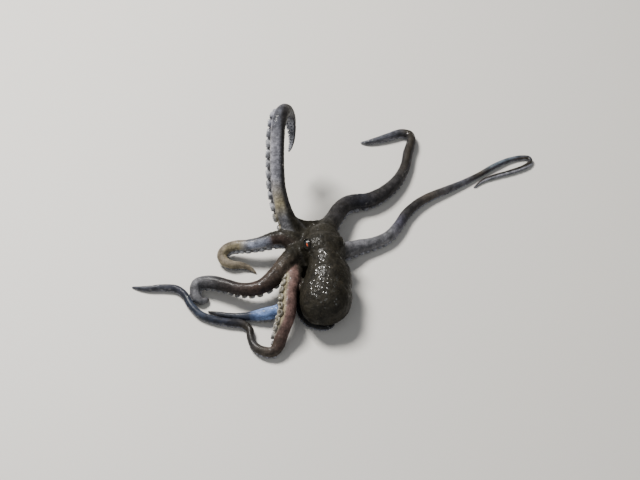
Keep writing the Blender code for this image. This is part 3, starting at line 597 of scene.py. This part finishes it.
def through_points(points):
    """Samples of a smooth curve through the points (a centripetal Catmull-Rom spline)."""
    points = np.array(points, float)
    ends = np.vstack([2 * points[0] - points[1], points, 2 * points[-1] - points[-2]])
    samples = []
    for p0, p1, p2, p3 in zip(ends, ends[1:], ends[2:], ends[3:]):
        t1 = np.linalg.norm(p1 - p0) ** 0.5
        t2 = t1 + np.linalg.norm(p2 - p1) ** 0.5
        t3 = t2 + np.linalg.norm(p3 - p2) ** 0.5
        for t in np.linspace(t1, t2, CURVE_STEPS, endpoint=False):
            a1 = (t1 - t) / t1 * p0 + t / t1 * p1
            a2 = (t2 - t) / (t2 - t1) * p1 + (t - t1) / (t2 - t1) * p2
            a3 = (t3 - t) / (t3 - t2) * p2 + (t - t2) / (t3 - t2) * p3
            b1 = (t2 - t) / t2 * a1 + t / t2 * a2
            b2 = (t3 - t) / (t3 - t1) * a2 + (t - t1) / (t3 - t1) * a3
            samples.append((t2 - t) / (t2 - t1) * b1 + (t - t1) / (t2 - t1) * b2)
    samples.append(points[-1])
    return np.array(samples)


def interp_rows(at, places, rows):
    """Rows of a table that stand at places, read at other places between them."""
    return np.stack([np.interp(at, places, column) for column in np.transpose(rows)], axis=1)


def unit_rows(rows):
    return rows / np.linalg.norm(rows, axis=1)[:, None]


def square_to(rows, ways):
    """The part of each row that is at right angles to its way."""
    return rows - ways * np.sum(rows * ways, axis=1)[:, None]


def softened(values, width):
    """A running mean, with the ends kept."""
    padded = np.pad(values, width, mode="edge")
    kernel = np.ones(2 * width + 1) / (2 * width + 1)
    smooth = np.convolve(padded, kernel, mode="valid")
    numbers = np.arange(len(values))
    return blend(values, smooth, np.clip(np.minimum(numbers, numbers[::-1]) / width, 0, 1))


class Arm:
    """One arm's centreline, radius, sucker side and colours, by distance along the route."""

    STEP = 0.25

    def __init__(self, name, facts):
        self.name = name
        self.cup = facts["cup"]
        self.rims = facts["rims"]
        route = [(x, y, *(z or [REST_LIFT * radius])) for x, y, *z, radius in facts["route"]]
        radii = [point[-1] for point in facts["route"]]
        curve = through_points(route)
        along = np.append(0.0, np.cumsum(np.linalg.norm(np.diff(curve, axis=0), axis=1)))
        places = along[::CURVE_STEPS]
        self.length = along[-1]
        self.root = float(places[facts["root"]])
        self.at = np.linspace(0.0, self.length, int(self.length / self.STEP) + 1)
        self.points = interp_rows(self.at, along, curve)
        self.radii = softened(np.interp(self.at, places, radii), RADIUS_SOFTENING)
        self.tangents = unit_rows(np.gradient(self.points, axis=0))
        self.bends = np.gradient(self.tangents, self.STEP, axis=0)
        numbers = np.interp(self.at, places, np.arange(len(places)))
        hints = interp_rows(numbers, *zip(*facts["oral"]))
        oral = np.apply_along_axis(softened, 0, hints, ORAL_SOFTENING)
        self.oral = unit_rows(square_to(oral, self.tangents))
        stops = (ROOT_COLOURS, *facts["colours"])
        self.stops = np.array([stop[0] for stop in stops]) * self.length
        self.colours = np.array([(back, *(flank or [back]), oral) for _, back, *flank, oral in stops])

    def frame(self, distance):
        """(centre, tangent, sucker direction, side direction, radius) at a distance along the arm."""
        i = min(int(round(distance / self.length * (len(self.at) - 1))), len(self.at) - 1)
        tangent = Vector(self.tangents[i])
        oral = Vector(self.oral[i])
        return Vector(self.points[i]), tangent, oral, tangent.cross(oral), float(self.radii[i])

    def colour(self, along, facing):
        """Skin colour at distances along the arm; facing is 1 on the sucker side and -1 on the back."""
        back, flank, oral = (interp_rows(along, self.stops, self.colours[:, side]) for side in range(3))
        to_flank = smooth_step(facing, *BACK_TO_FLANK)[:, None]
        to_oral = smooth_step(facing, *FLANK_TO_ORAL)[:, None]
        return blend(blend(back, flank, to_flank), oral, to_oral)

    def tube(self, end, extra=0.0):
        """Points and faces of the arm's flesh from its start to a distance, made thicker by extra."""
        points, rings = [], []
        for distance in np.linspace(0.0, end, int(end / ARM_RING)):
            centre, _, oral, side, radius = self.frame(distance)
            rings.append(list(range(len(points), len(points) + ARM_SIDES)))
            for k in range(ARM_SIDES):
                angle = 2 * math.pi * (k + 0.5) / ARM_SIDES
                flat = 1.0 - ORAL_FLATTENING * max(0.0, math.cos(angle)) ** 2
                reach = radius * flat + extra
                points.append(centre + (oral * math.cos(angle) + side * math.sin(angle)) * reach)
        return points, ring_faces(rings)


def web(first, second, reach, dip):
    """A closed sheet between the roots of two arms, with a free edge that dips towards the crown."""
    across, along = WEB_CELLS
    half = Vector((0, 0, WEB_THICKNESS / 2))
    top, bottom = [], []
    for v in range(along + 1):
        for u in range(across + 1):
            share = u / across
            out = reach * v / along * (1.0 - dip * 4 * share * (1 - share))
            point = first.frame(out)[0].lerp(second.frame(out)[0], share)
            top.append(point + half)
            bottom.append(point - half)
    count = len(top)
    wide = across + 1
    faces = []
    for v in range(along):
        for u in range(across):
            a = v * wide + u
            square = (a, a + 1, a + 1 + wide, a + wide)
            faces += [square, tuple(count + i for i in reversed(square))]
    rim = list(range(wide))
    rim += [v * wide + across for v in range(1, along + 1)]
    rim += [along * wide + u for u in range(across - 1, -1, -1)]
    rim += [v * wide for v in range(along - 1, 0, -1)]
    faces += [(a, b, count + b, count + a) for a, b in zip(rim, rim[1:] + rim[:1])]
    return top + bottom, faces


class Placement:
    """For each point: the arm whose surface is nearest, and where the point lies along and round it."""

    CHUNK = 4000
    TINY = 1e-9

    def __init__(self, points, arms):
        arms = list(arms.values())
        centres = np.vstack([arm.points for arm in arms])
        radii = np.concatenate([arm.radii for arm in arms])
        tangents = np.vstack([arm.tangents for arm in arms])
        along = np.concatenate([arm.at for arm in arms])
        owner = np.concatenate([np.full(len(arm.at), k) for k, arm in enumerate(arms)])
        squares = np.sum(centres**2, axis=1)
        nearest = np.empty(len(points), int)
        for first in range(0, len(points), self.CHUNK):
            some = points[first:first + self.CHUNK]
            apart = np.sum(some**2, axis=1)[:, None] - 2 * some @ centres.T + squares
            nearest[first:first + self.CHUNK] = np.argmin(np.sqrt(np.maximum(apart, 0)) - radii, axis=1)
        slide = np.sum((points - centres[nearest]) * tangents[nearest], axis=1)
        self.owner = owner[nearest]
        self.past_end = np.abs(slide) > Arm.STEP
        self.along = along[nearest] + np.clip(slide, -Arm.STEP, Arm.STEP)
        self.centre, self.outward = np.empty((2, *points.shape))
        self.distance, self.radius, self.facing, self.aside, self.shortened = np.empty((5, len(points)))
        self.root, self.length = np.array([(arm.root, arm.length) for arm in arms])[self.owner].T
        for k, arm in enumerate(arms):
            mine = self.owner == k
            self.measure(arm, mine, points[mine])
        cut, low, high = ARM_REACH_CUT
        reach = 1.0 - cut * smooth_step(self.along - self.root, low, high)
        self.closeness = 1.0 - smooth_step((self.distance - self.radius) / reach, *ARM_REACH)

    def measure(self, arm, mine, points):
        along = self.along[mine]
        tables = (arm.points, arm.tangents, arm.oral, arm.bends)
        centre, tangent, oral, bend = (interp_rows(along, arm.at, table) for table in tables)
        away = square_to(points - centre, tangent)
        distance = np.linalg.norm(away, axis=1)
        outward = away / np.maximum(distance, self.TINY)[:, None]
        self.centre[mine] = centre
        self.outward[mine] = outward
        self.distance[mine] = distance
        self.radius[mine] = np.interp(along, arm.at, arm.radii)
        self.facing[mine] = np.sum(outward * oral, axis=1)
        self.aside[mine] = np.sum(outward * np.cross(tangent, oral), axis=1)
        self.shortened[mine] = self.radius[mine] * np.sum(outward * bend, axis=1)

    def share(self):
        """1 where a point is on the free arm's own surface, 0 on the body, and between at the root."""
        return smooth_step(self.along - self.root, *ARM_MERGE) * self.closeness


# Skin


def body_form(arms):
    """Mantle, head, crown, webs and arm roots as one smooth closed surface."""
    forms = [ellipsoid(*dome) for dome in (*MANTLE, HEAD_DOME, BROW, CROWN_DOME)]
    forms += [ellipsoid(mound, (EYE_MOUND_RADIUS,) * 3) for mound, _ in EYES.values()]
    forms += [arm.tube(arm.root + ROOT_OVERRUN, ROOT_SWELL) for arm in arms.values()]
    ring = list(arms.values())
    forms += [web(first, second, *sizes) for first, second, sizes in zip(ring[-1:] + ring, ring, WEBS)]
    body = mesh_object("body_form", forms)
    fuse(body, FORM_VOXEL, FORM_SMOOTHING, 1)
    return body


def funnel_form():
    """The funnel's tube with its open end."""
    axis = FUNNEL_END - FUNNEL_START
    length = axis.length
    wide, narrow = FUNNEL_RADII
    profile = (
        (0.0, wide), (0.3 * length, 0.97 * wide), (0.55 * length, 0.82 * wide), (0.9 * length, narrow),
        (0.97 * length, 1.08 * narrow), (length, 0.95 * narrow), (0.98 * length, FUNNEL_BORE),
        (length - FUNNEL_DEPTH, 0.7 * FUNNEL_BORE), (length - FUNNEL_DEPTH - 0.3, 0),
    )
    return turned(FUNNEL_START, axis, profile, FUNNEL_SIDES)


def fused_skin(arms):
    """Body and arms as one fine closed surface."""
    body = body_form(arms)
    skin = mesh_object("skin", [*(arm.tube(arm.length) for arm in arms.values()), funnel_form()])
    with edited(skin) as shape:
        shape.from_mesh(body.data)
    bpy.data.objects.remove(body)
    fuse(skin, SKIN_VOXEL, SKIN_SMOOTHING)
    keep_largest(skin)
    return skin


def refine_eyes(skin):
    """Splits the faces round the eyes, so that the lids have enough points."""
    centres = [Vector(to_metres(eye_centre(name))) for name in EYES]
    with edited(skin) as shape:
        edges = [
            edge for edge in shape.edges
            if any((edge.verts[0].co - centre).length < EYE_AREA * MM for centre in centres)
        ]
        bmesh.ops.subdivide_edges(shape, edges=edges, cuts=EYE_CUTS, use_grid_fill=True)


def eye_centre(name):
    mound, look = EYES[name]
    return mound + look * EYE_OFFSET


def eye_axes(name):
    """The eye's looking direction, the slit's long axis and the axis across it."""
    _, look = EYES[name]
    long_axis = Vector((0.0, 1.0, 0.0))
    long_axis = (long_axis - look * long_axis.dot(look)).normalized()
    return look, long_axis, look.cross(long_axis)


def snap_to_arms(points, placement):
    """Moves the free arms' points onto their exact round surface."""
    to_tip = smooth_step(placement.length - placement.along, 0.0, ARM_TIP_FREE)
    share = placement.share() * to_tip * ~placement.past_end
    flat = 1.0 - ORAL_FLATTENING * np.maximum(placement.facing, 0.0) ** 2
    surface = placement.centre + placement.outward * (placement.radius * flat)[:, None]
    return blend(points, surface, share[:, None])


def neck_groove(points):
    """How deep the fold between mantle and head is at each point, deepest at the sides and below."""
    place, normal = NECK
    depth, width, heights = NECK_FOLD
    behind = (points - np.array(place)) @ np.array(normal)
    low = 1.0 - smooth_step(points[:, 2], *heights)
    return depth * np.exp(-((behind / width) ** 2)) * low


def relief(points, placement):
    """How far the skin stands out at each point: folds and grain, and the arms' rings and wrinkles."""
    free = placement.share()
    body = sum(noise_at(points, *waves) for waves in (BODY_FOLDS, BODY_GRAIN, FINE_GRAIN))
    body -= neck_groove(points)
    ring_size, ring_height = ARM_RINGS
    stretched = placement.radius / (RING_STRETCH * ring_size)
    round_arm = np.stack([
        placement.along / ring_size,
        placement.facing * stretched,
        placement.aside * stretched + ARMS_APART * placement.owner,
    ], axis=1)
    rings = noise_at(round_arm, 1.0, ring_height) + noise_at(points, *ARM_GRAIN)
    rings *= np.clip(placement.radius / FULL_RELIEF, LEAST_RELIEF, 1.0)
    wave = placement.along / WRINKLE_PITCH + noise_at(points, *WRINKLE_WANDER)
    valleys = (1.0 - np.abs(np.sin(np.pi * wave))) ** 2
    rings -= WRINKLE_DEPTH * placement.radius * valleys * smooth_step(placement.shortened, *WRINKLED)
    return blend(body, rings, free)


def sculpt_eye(points, name):
    """Opens the skin over the eyeball and raises a lid all round the opening."""
    look, long_axis, across = (np.array(axis) for axis in eye_axes(name))
    away = points - np.array(eye_centre(name))
    height = away @ look
    along = away @ long_axis
    aside = away @ across
    offset = np.hypot(along, aside)
    near = (offset < EYE_AREA) & (height > -EYE_DEPTH)
    half_length, half_width = EYE_OPENING
    edge = np.hypot(along / half_length, aside / half_width)
    beyond = (edge - 1.0) * 0.5 * (half_length + half_width)
    ball = np.sqrt(np.maximum(EYE_RADIUS**2 - offset**2, 0.0))
    lid = LID_RISE * np.exp(-(((beyond - LID_MIDDLE) / LID_WIDTH) ** 2))
    outer = np.maximum(height + lid, np.where(beyond < LID_REACH, ball + LID_OVERLAP, -np.inf))
    target = blend(ball - SOCKET_SINK, outer, smooth_step(beyond, *LID_EDGE))
    fade = 1.0 - smooth_step(offset, *EYE_FADE)
    move = np.where(near, (target - height) * fade, 0.0)
    return points + look * move[:, None]


def skin_colour(placement, arms):
    """Skin colour at each point, with the arms' own colours beyond their roots."""
    colour = np.tile(BODY_DARK, (len(placement.owner), 1))
    for k, arm in enumerate(arms.values()):
        mine = placement.owner == k
        own = arm.colour(placement.along[mine], placement.facing[mine])
        colour[mine] = blend(colour[mine], own, placement.closeness[mine][:, None])
    return colour


def bead_share(points, placement):
    """How many water beads stand on the skin: most on the mantle's back and the arms' ends."""
    centre, half_width = BEADED_BACK
    back = np.exp(-(((points[:, 0] - centre) / half_width) ** 2))
    back *= smooth_step(points[:, 2], *BEADED_HEIGHTS) * smooth_step(-points[:, 1], *BEADED_FROM)
    for name in EYES:
        apart = np.linalg.norm(points - np.array(eye_centre(name)), axis=1)
        back = np.maximum(back, EYE_BEADS * (1.0 - smooth_step(apart, EYE_RADIUS, EYE_AREA)))
    to_tip = smooth_step(placement.along / placement.length, *BEADED_TIP)
    body = blend(FLANK_BEADS, 1.0, back)
    return blend(body, blend(ARM_BEADS, TIP_BEADS, to_tip), placement.share())


def build_skin(arms, material):
    """The skin of the whole animal: fused, sculpted and coloured."""
    skin = fused_skin(arms)
    refine_eyes(skin)
    points = read_rows(skin.data.vertices, "co") / MM + np.array(CENTRE)
    placement = Placement(points, arms)
    points = snap_to_arms(points, placement)
    write_points(skin, points)
    normals = read_rows(skin.data.vertex_normals, "vector")
    points = points + normals * relief(points, placement)[:, None]
    for name in EYES:
        points = sculpt_eye(points, name)
    points[:, 2] = np.maximum(points[:, 2], 0.0)
    write_points(skin, points)
    tint = skin_colour(placement, arms)
    return dress(skin, material, tint=tint, beads=bead_share(points, placement))


# Suckers


def cup_template(sides):
    """One sucker's points, each as height, direction round the axis, radius and paleness, and its faces."""
    rows, rings = [], []
    low, high = GROOVED_RADII
    for height, radius, paleness in CUP_PROFILE:
        grooved = low < radius < high and paleness > GROOVED_PALENESS
        count = sides if radius else 1
        rings.append(list(range(len(rows), len(rows) + count)))
        for i in range(count):
            angle = 2 * math.pi * i / sides
            groove = CUP_GROOVE_DEPTH * math.cos(CUP_GROOVES * angle) if grooved else 0.0
            rows.append((height + groove, math.cos(angle), math.sin(angle), radius, paleness))
    return np.array(rows), ring_faces(rings)


def sucker_places(arm, draw):
    """Distance, hand and size factor of each sucker, in two staggered rows to the arm's tip."""
    distance = SUCKER_START
    hand = 1.0
    while distance < arm.length - SUCKER_END:
        radius = arm.frame(distance)[4]
        yield distance, hand, 1.0 + SUCKER_SIZES * draw.uniform(-1, 1)
        spacing = SUCKER_SPACING * SUCKER_SHARE * arm.cup * radius
        distance += max(spacing, SUCKER_LEAST_SPACING * SUCKER_LEAST)
        hand = -hand


def build_suckers(arm, material):
    """All the suckers of one arm in one mesh."""
    draw = random.Random(SEED + len(arm.name) + int(arm.length))
    cups, tints = [], []
    lobes, lobe_size, lobe_turn = SUCKER_LOBES
    for distance, hand, size in sucker_places(arm, draw):
        centre, tangent, oral, side, radius = arm.frame(distance)
        rows, faces = cup_template(CUP_SIDES[0] if radius > THICK_ARM else CUP_SIDES[1])
        tilt = tangent * draw.uniform(-1, 1) * SUCKER_TILT + side * draw.uniform(-1, 1) * SUCKER_TILT
        place = (oral * math.cos(SUCKER_ANGLE) + side * (hand * math.sin(SUCKER_ANGLE))).normalized()
        axis = (place + tilt).normalized()
        cup = max(SUCKER_SHARE * arm.cup * radius, SUCKER_LEAST) * size
        rise = SUCKER_HEIGHT * arm.cup * radius + SUCKER_LIFT
        across = (tangent - axis * tangent.dot(axis)).normalized()
        base = centre + place * (radius * (1.0 - ORAL_FLATTENING) * SUCKER_SEAT)
        height, cosine, sine, wide, paleness = rows.T[:, :, None]
        flare = 1.0 + lobe_size * np.sin(lobes * np.arctan2(sine, cosine) + draw.uniform(0, lobe_turn))
        outward = cosine * np.array(across) + sine * np.array(axis.cross(across))
        points = np.array(base) + height * rise * np.array(axis) + outward * (wide * cup * flare)
        points[:, 2] = np.maximum(points[:, 2], 0.0)
        cups.append((points, faces))
        ground = arm.colour(np.array([distance]), np.array([1.0]))
        tints.append(blend(ground, np.array(SUCKER_RIM), paleness * arm.rims))
    tint = np.vstack(tints)
    suckers = mesh_object(arm.name + "_suckers", cups)
    return dress(suckers, material, tint=tint, beads=np.full(len(tint), SUCKER_BEADS))


# Mouth


def build_lips(material):
    """The ring of folded lips under the crown."""
    folds, depth = LIP_FOLDS
    profile = [(height, share * MOUTH_RADIUS) for height, share in LIP_PROFILE]
    points, faces = turned(MOUTH, Vector(DOWN), profile, LIP_SIDES)
    folded = []
    for point in points:
        away = Vector((point.x - MOUTH.x, point.y - MOUTH.y, 0.0))
        folded.append(point + away * (depth * math.cos(folds * math.atan2(away.y, away.x))))
    lips = mesh_object("lips", [(folded, faces)])
    tint = np.tile(ASH_WARM, (len(folded), 1))
    return dress(lips, material, tint=tint, beads=np.full(len(folded), ARM_BEADS))


def build_beak(material):
    """The tip of the beak, narrow from side to side, inside the lips."""
    points, faces = turned(MOUTH, Vector(DOWN), BEAK_PROFILE, BEAK_SIDES)
    narrow = [Vector((MOUTH.x + (p.x - MOUTH.x) * BEAK_NARROWING, p.y, p.z)) for p in points]
    return dress(mesh_object("beak", [(narrow, faces)]), material)


# Eyes


def build_eye(name, material):
    """The eyeball, with each point's place on the iris."""
    look, long_axis, across = eye_axes(name)
    centre = eye_centre(name)
    points, faces = turned(centre, look, ball_profile(EYE_RADIUS, EYE_RINGS), EYE_SIDES, long_axis)
    away = (np.array([tuple(p) for p in points]) - np.array(centre)) / EYE_RADIUS
    turn = 1.0 if look.x < 0 else -1.0
    along = turn * (away @ np.array(long_axis))
    ball = mesh_object(name + "_ball", [(points, faces)])
    return dress(ball, material, iris_along=along, iris_across=away @ np.array(across))


# Materials


class Shader:
    """Short names for the nodes of one material."""

    def __init__(self, name):
        self.material = bpy.data.materials.new(name)
        self.material.use_nodes = True
        self.tree = self.material.node_tree

    def plug(self, value, socket):
        """Puts a number, a colour or another node's output into a socket."""
        if isinstance(value, bpy.types.NodeSocket):
            self.tree.links.new(value, socket)
        elif isinstance(value, tuple) and len(value) == 3:
            socket.default_value = (*value, 1.0) if socket.type == "RGBA" else value
        else:
            socket.default_value = value

    def node(self, kind, values=(), output=0, **settings):
        """Makes a node with values in its sockets, and returns one of its outputs."""
        made = self.tree.nodes.new(kind)
        for name, setting in settings.items():
            setattr(made, name, setting)
        for socket, value in dict(values).items():
            self.plug(value, made.inputs[socket])
        return made.outputs[output]

    def math(self, operation, *numbers):
        return self.node("ShaderNodeMath", enumerate(numbers), operation=operation)

    def mix(self, share, first, second, blend="MIX"):
        colours = {0: share, 6: first, 7: second}
        return self.node("ShaderNodeMix", colours, 2, data_type="RGBA", blend_type=blend)

    def mix_value(self, share, first, second):
        return self.node("ShaderNodeMix", {0: share, 2: first, 3: second}, data_type="FLOAT")

    def range(self, value, low, high, to_low=0.0, to_high=1.0):
        limits = enumerate((value, low, high, to_low, to_high))
        return self.node("ShaderNodeMapRange", limits, interpolation_type="SMOOTHSTEP")

    def attribute(self, name, output="Fac"):
        return self.node("ShaderNodeAttribute", output=output, attribute_name=name)

    def texture(self, kind, wavelength, output=0, values=(), **settings):
        """A texture over the object, with features about wavelength millimetres across."""
        place = self.node("ShaderNodeTexCoord", output="Object")
        sockets = {"Vector": place, "Scale": 1.0 / (wavelength * MM), **dict(values)}
        return self.node(kind, sockets, output, **settings)

    def noise(self, wavelength, detail=2.0, roughness=0.5):
        detailed = {"Detail": detail, "Roughness": roughness}
        return self.texture("ShaderNodeTexNoise", wavelength, values=detailed)

    def cells(self, wavelength, feature="F1"):
        return self.texture("ShaderNodeTexVoronoi", wavelength, "Distance", feature=feature)

    def bump(self, height, depth, **normal):
        """A bump of depth millimetres, over another bump's normal."""
        return self.node("ShaderNodeBump", {"Height": height, "Distance": depth * MM, **normal})

    def finish(self, **values):
        for name, value in values.items():
            self.plug(value, self.tree.nodes["Principled BSDF"].inputs[name.replace("_", " ")])
        return self.material


def skin_material():
    """Wet skin: the tint laid down with the mesh, mottled and speckled, under a film and beads of water."""
    s = Shader("wet_skin")
    tint = s.attribute("tint", "Color")
    beads = s.attribute("beads")
    mottle = s.range(s.noise(MOTTLES, 3.0, 0.6), 0.32, 0.68, 0.62, 1.45)
    fine = s.range(s.noise(FINE_MOTTLES, 2.0, 0.6), 0.3, 0.7, 0.78, 1.25)
    shaded = s.mix(1.0, tint, s.math("MULTIPLY", mottle, fine), "MULTIPLY")
    spots = s.range(s.cells(LIGHT_SPOTS), 0.12, 0.26, 1.0, 0.0)
    patches = s.range(s.noise(SPOT_PATCHES), 0.42, 0.62)
    light = s.math("MULTIPLY", s.math("MULTIPLY", spots, patches), 0.5)
    speckled = s.mix(light, shaded, s.mix(0.55, shaded, SPOT_COLOUR))
    dark_spots = s.range(s.cells(DARK_SPOTS), 0.1, 0.2, 1.0, 0.0)
    dark_share = s.math("MULTIPLY", dark_spots, 0.45)
    colour = s.mix(dark_share, speckled, s.mix(1.0, speckled, SPOT_SHADE, "MULTIPLY"))
    bead = s.math("POWER", s.math("DIVIDE", s.cells(BEAD_SPACING), BEAD_SIZE), 2.0)
    bead = s.math("MAXIMUM", s.math("SUBTRACT", 1.0, bead), 0.0)
    limits = s.mix_value(beads, 0.7, 0.3), s.mix_value(beads, 0.85, 0.42)
    wet_patches = s.range(s.noise(WET_PATCHES), *limits)
    wet = s.math("MULTIPLY", s.math("MINIMUM", s.math("MULTIPLY", bead, 3.0), 1.0), wet_patches)
    pores = s.bump(s.noise(PORES, 3.0, 0.6), PORE_DEPTH)
    film = s.bump(s.noise(BUMPS), FILM_DEPTH)
    return s.finish(
        Base_Color=colour, Roughness=s.range(s.noise(ROUGH_PATCHES), 0.35, 0.65, 0.48, 0.66),
        Normal=s.bump(s.cells(BUMPS, "SMOOTH_F1"), BUMP_DEPTH, Normal=pores), Specular_IOR_Level=0.12,
        Coat_Weight=s.range(wet, 0.0, 1.0, 0.04, 1.0), Coat_Roughness=0.05, Coat_IOR=1.8,
        Coat_Normal=s.bump(bead, BEAD_HEIGHT, Normal=film),
    )


def eye_material():
    """A copper iris under painted shade, near-black at its rim, with a copper fleck and a black slit, under
    a clear wet cornea.
    """
    s = Shader("wet_eye")
    places = [s.attribute(name) for name in ("iris_along", "iris_across")]

    def oval(middle, half_sizes):
        squares = [
            s.math("POWER", s.math("DIVIDE", s.math("SUBTRACT", place, centre), half_size), 2.0)
            for place, centre, half_size in zip(places, middle, half_sizes)
        ]
        return s.math("SQRT", s.math("ADD", *squares))

    slit = s.range(oval(*SLIT), 0.85, 1.1, 1.0, 0.0)
    fleck = s.range(oval(*FLECK), 0.6, 1.15, 1.0, 0.0)
    # Painted shade: the iris is darkened, near-black towards its rim, so that its copper shows only in the
    # fleck.
    painted_iris_shade = s.mix(s.range(s.noise(0.35), 0.4, 0.65), *IRIS_PAINTED_SHADE)
    iris = s.mix(s.range(oval(*IRIS), 0.4, 0.7), painted_iris_shade, IRIS_RIM_PAINTED_SHADE)
    copper = s.mix(s.range(s.noise(0.2), 0.35, 0.65), *COPPER)
    colour = s.mix(slit, s.mix(fleck, iris, copper), SLIT_BLACK)
    return s.finish(
        Base_Color=colour, Roughness=0.35, Coat_Weight=0.5, Coat_Roughness=0.02, Specular_IOR_Level=0.25,
    )


def beak_material():
    s = Shader("beak_horn")
    colour = s.mix(s.noise(0.6), *HORN)
    return s.finish(Base_Color=colour, Roughness=0.3, Coat_Weight=0.5, Coat_Roughness=0.1)


def floor_material():
    s = Shader("pale_floor")
    tone = s.mix(s.noise(FLOOR_TONES), tuple(FLOOR_SHADE * c for c in FLOOR_COLOUR), FLOOR_COLOUR)
    return s.finish(Base_Color=tone, Roughness=0.55)


# Stage


def build_stage():
    half = FLOOR_SIZE / 2
    mesh = bpy.data.meshes.new("floor")
    corners = [(-half, -half), (half, -half), (half, half), (-half, half)]
    mesh.from_pydata([(x, y, -FLOOR_DROP) for x, y in corners], [], [(0, 1, 2, 3)])
    floor = new_object("floor", mesh)
    floor.data.materials.append(floor_material())


def build_lights():
    for name, (place, target, size, power, colour) in LIGHTS.items():
        light = bpy.data.lights.new(name, "AREA")
        light.shape = "RECTANGLE"
        light.size, light.size_y = size
        light.energy = power
        light.color = colour
        lamp = new_object(name, light)
        lamp.location = Vector(to_metres(place))
        aim = Vector(to_metres(target)) - lamp.location
        lamp.rotation_euler = aim.to_track_quat("-Z", "Y").to_euler()
    colour, strength = WORLD
    world = bpy.data.worlds.new("soft_room")
    world.use_nodes = True
    sky = world.node_tree.nodes["Background"]
    sky.inputs["Color"].default_value = (*colour, 1.0)
    sky.inputs["Strength"].default_value = strength
    bpy.context.scene.world = world


def build_camera():
    lens = bpy.data.cameras.new("photo_view")
    lens.lens = CAMERA_LENS
    lens.sensor_width = CAMERA_SENSOR
    lens.clip_start = CAMERA_NEAR
    camera = new_object("photo_view", lens)
    camera.location = Vector(to_metres(CAMERA_PLACE))
    camera.rotation_euler = (math.radians(90.0 - CAMERA_ELEVATION), 0.0, 0.0)
    bpy.context.scene.camera = camera


def join_frame(piece, slot, *nodes):
    """Makes a piece ride with the animal and stand for nodes, whose parts it hides. The slot is not used."""
    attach(piece, BODY)
    if nodes:
        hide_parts(*nodes)


def main():
    build_camera()
    build_stage()
    build_lights()
    arms = {name: Arm(name, {**ARM_DEFAULTS, **facts}) for name, facts in ARMS.items()}
    wet_skin = skin_material()
    flesh = [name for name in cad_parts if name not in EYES]
    join_frame(build_skin(arms, wet_skin), "dark_skin", *flesh)
    for arm in arms.values():
        join_frame(build_suckers(arm, wet_skin), "grey_skin")
    join_frame(build_lips(wet_skin), "dark_skin")
    join_frame(build_beak(beak_material()), "eye")
    wet_eye = eye_material()
    for name in EYES:
        join_frame(build_eye(name, wet_eye), "eye", name)


main()
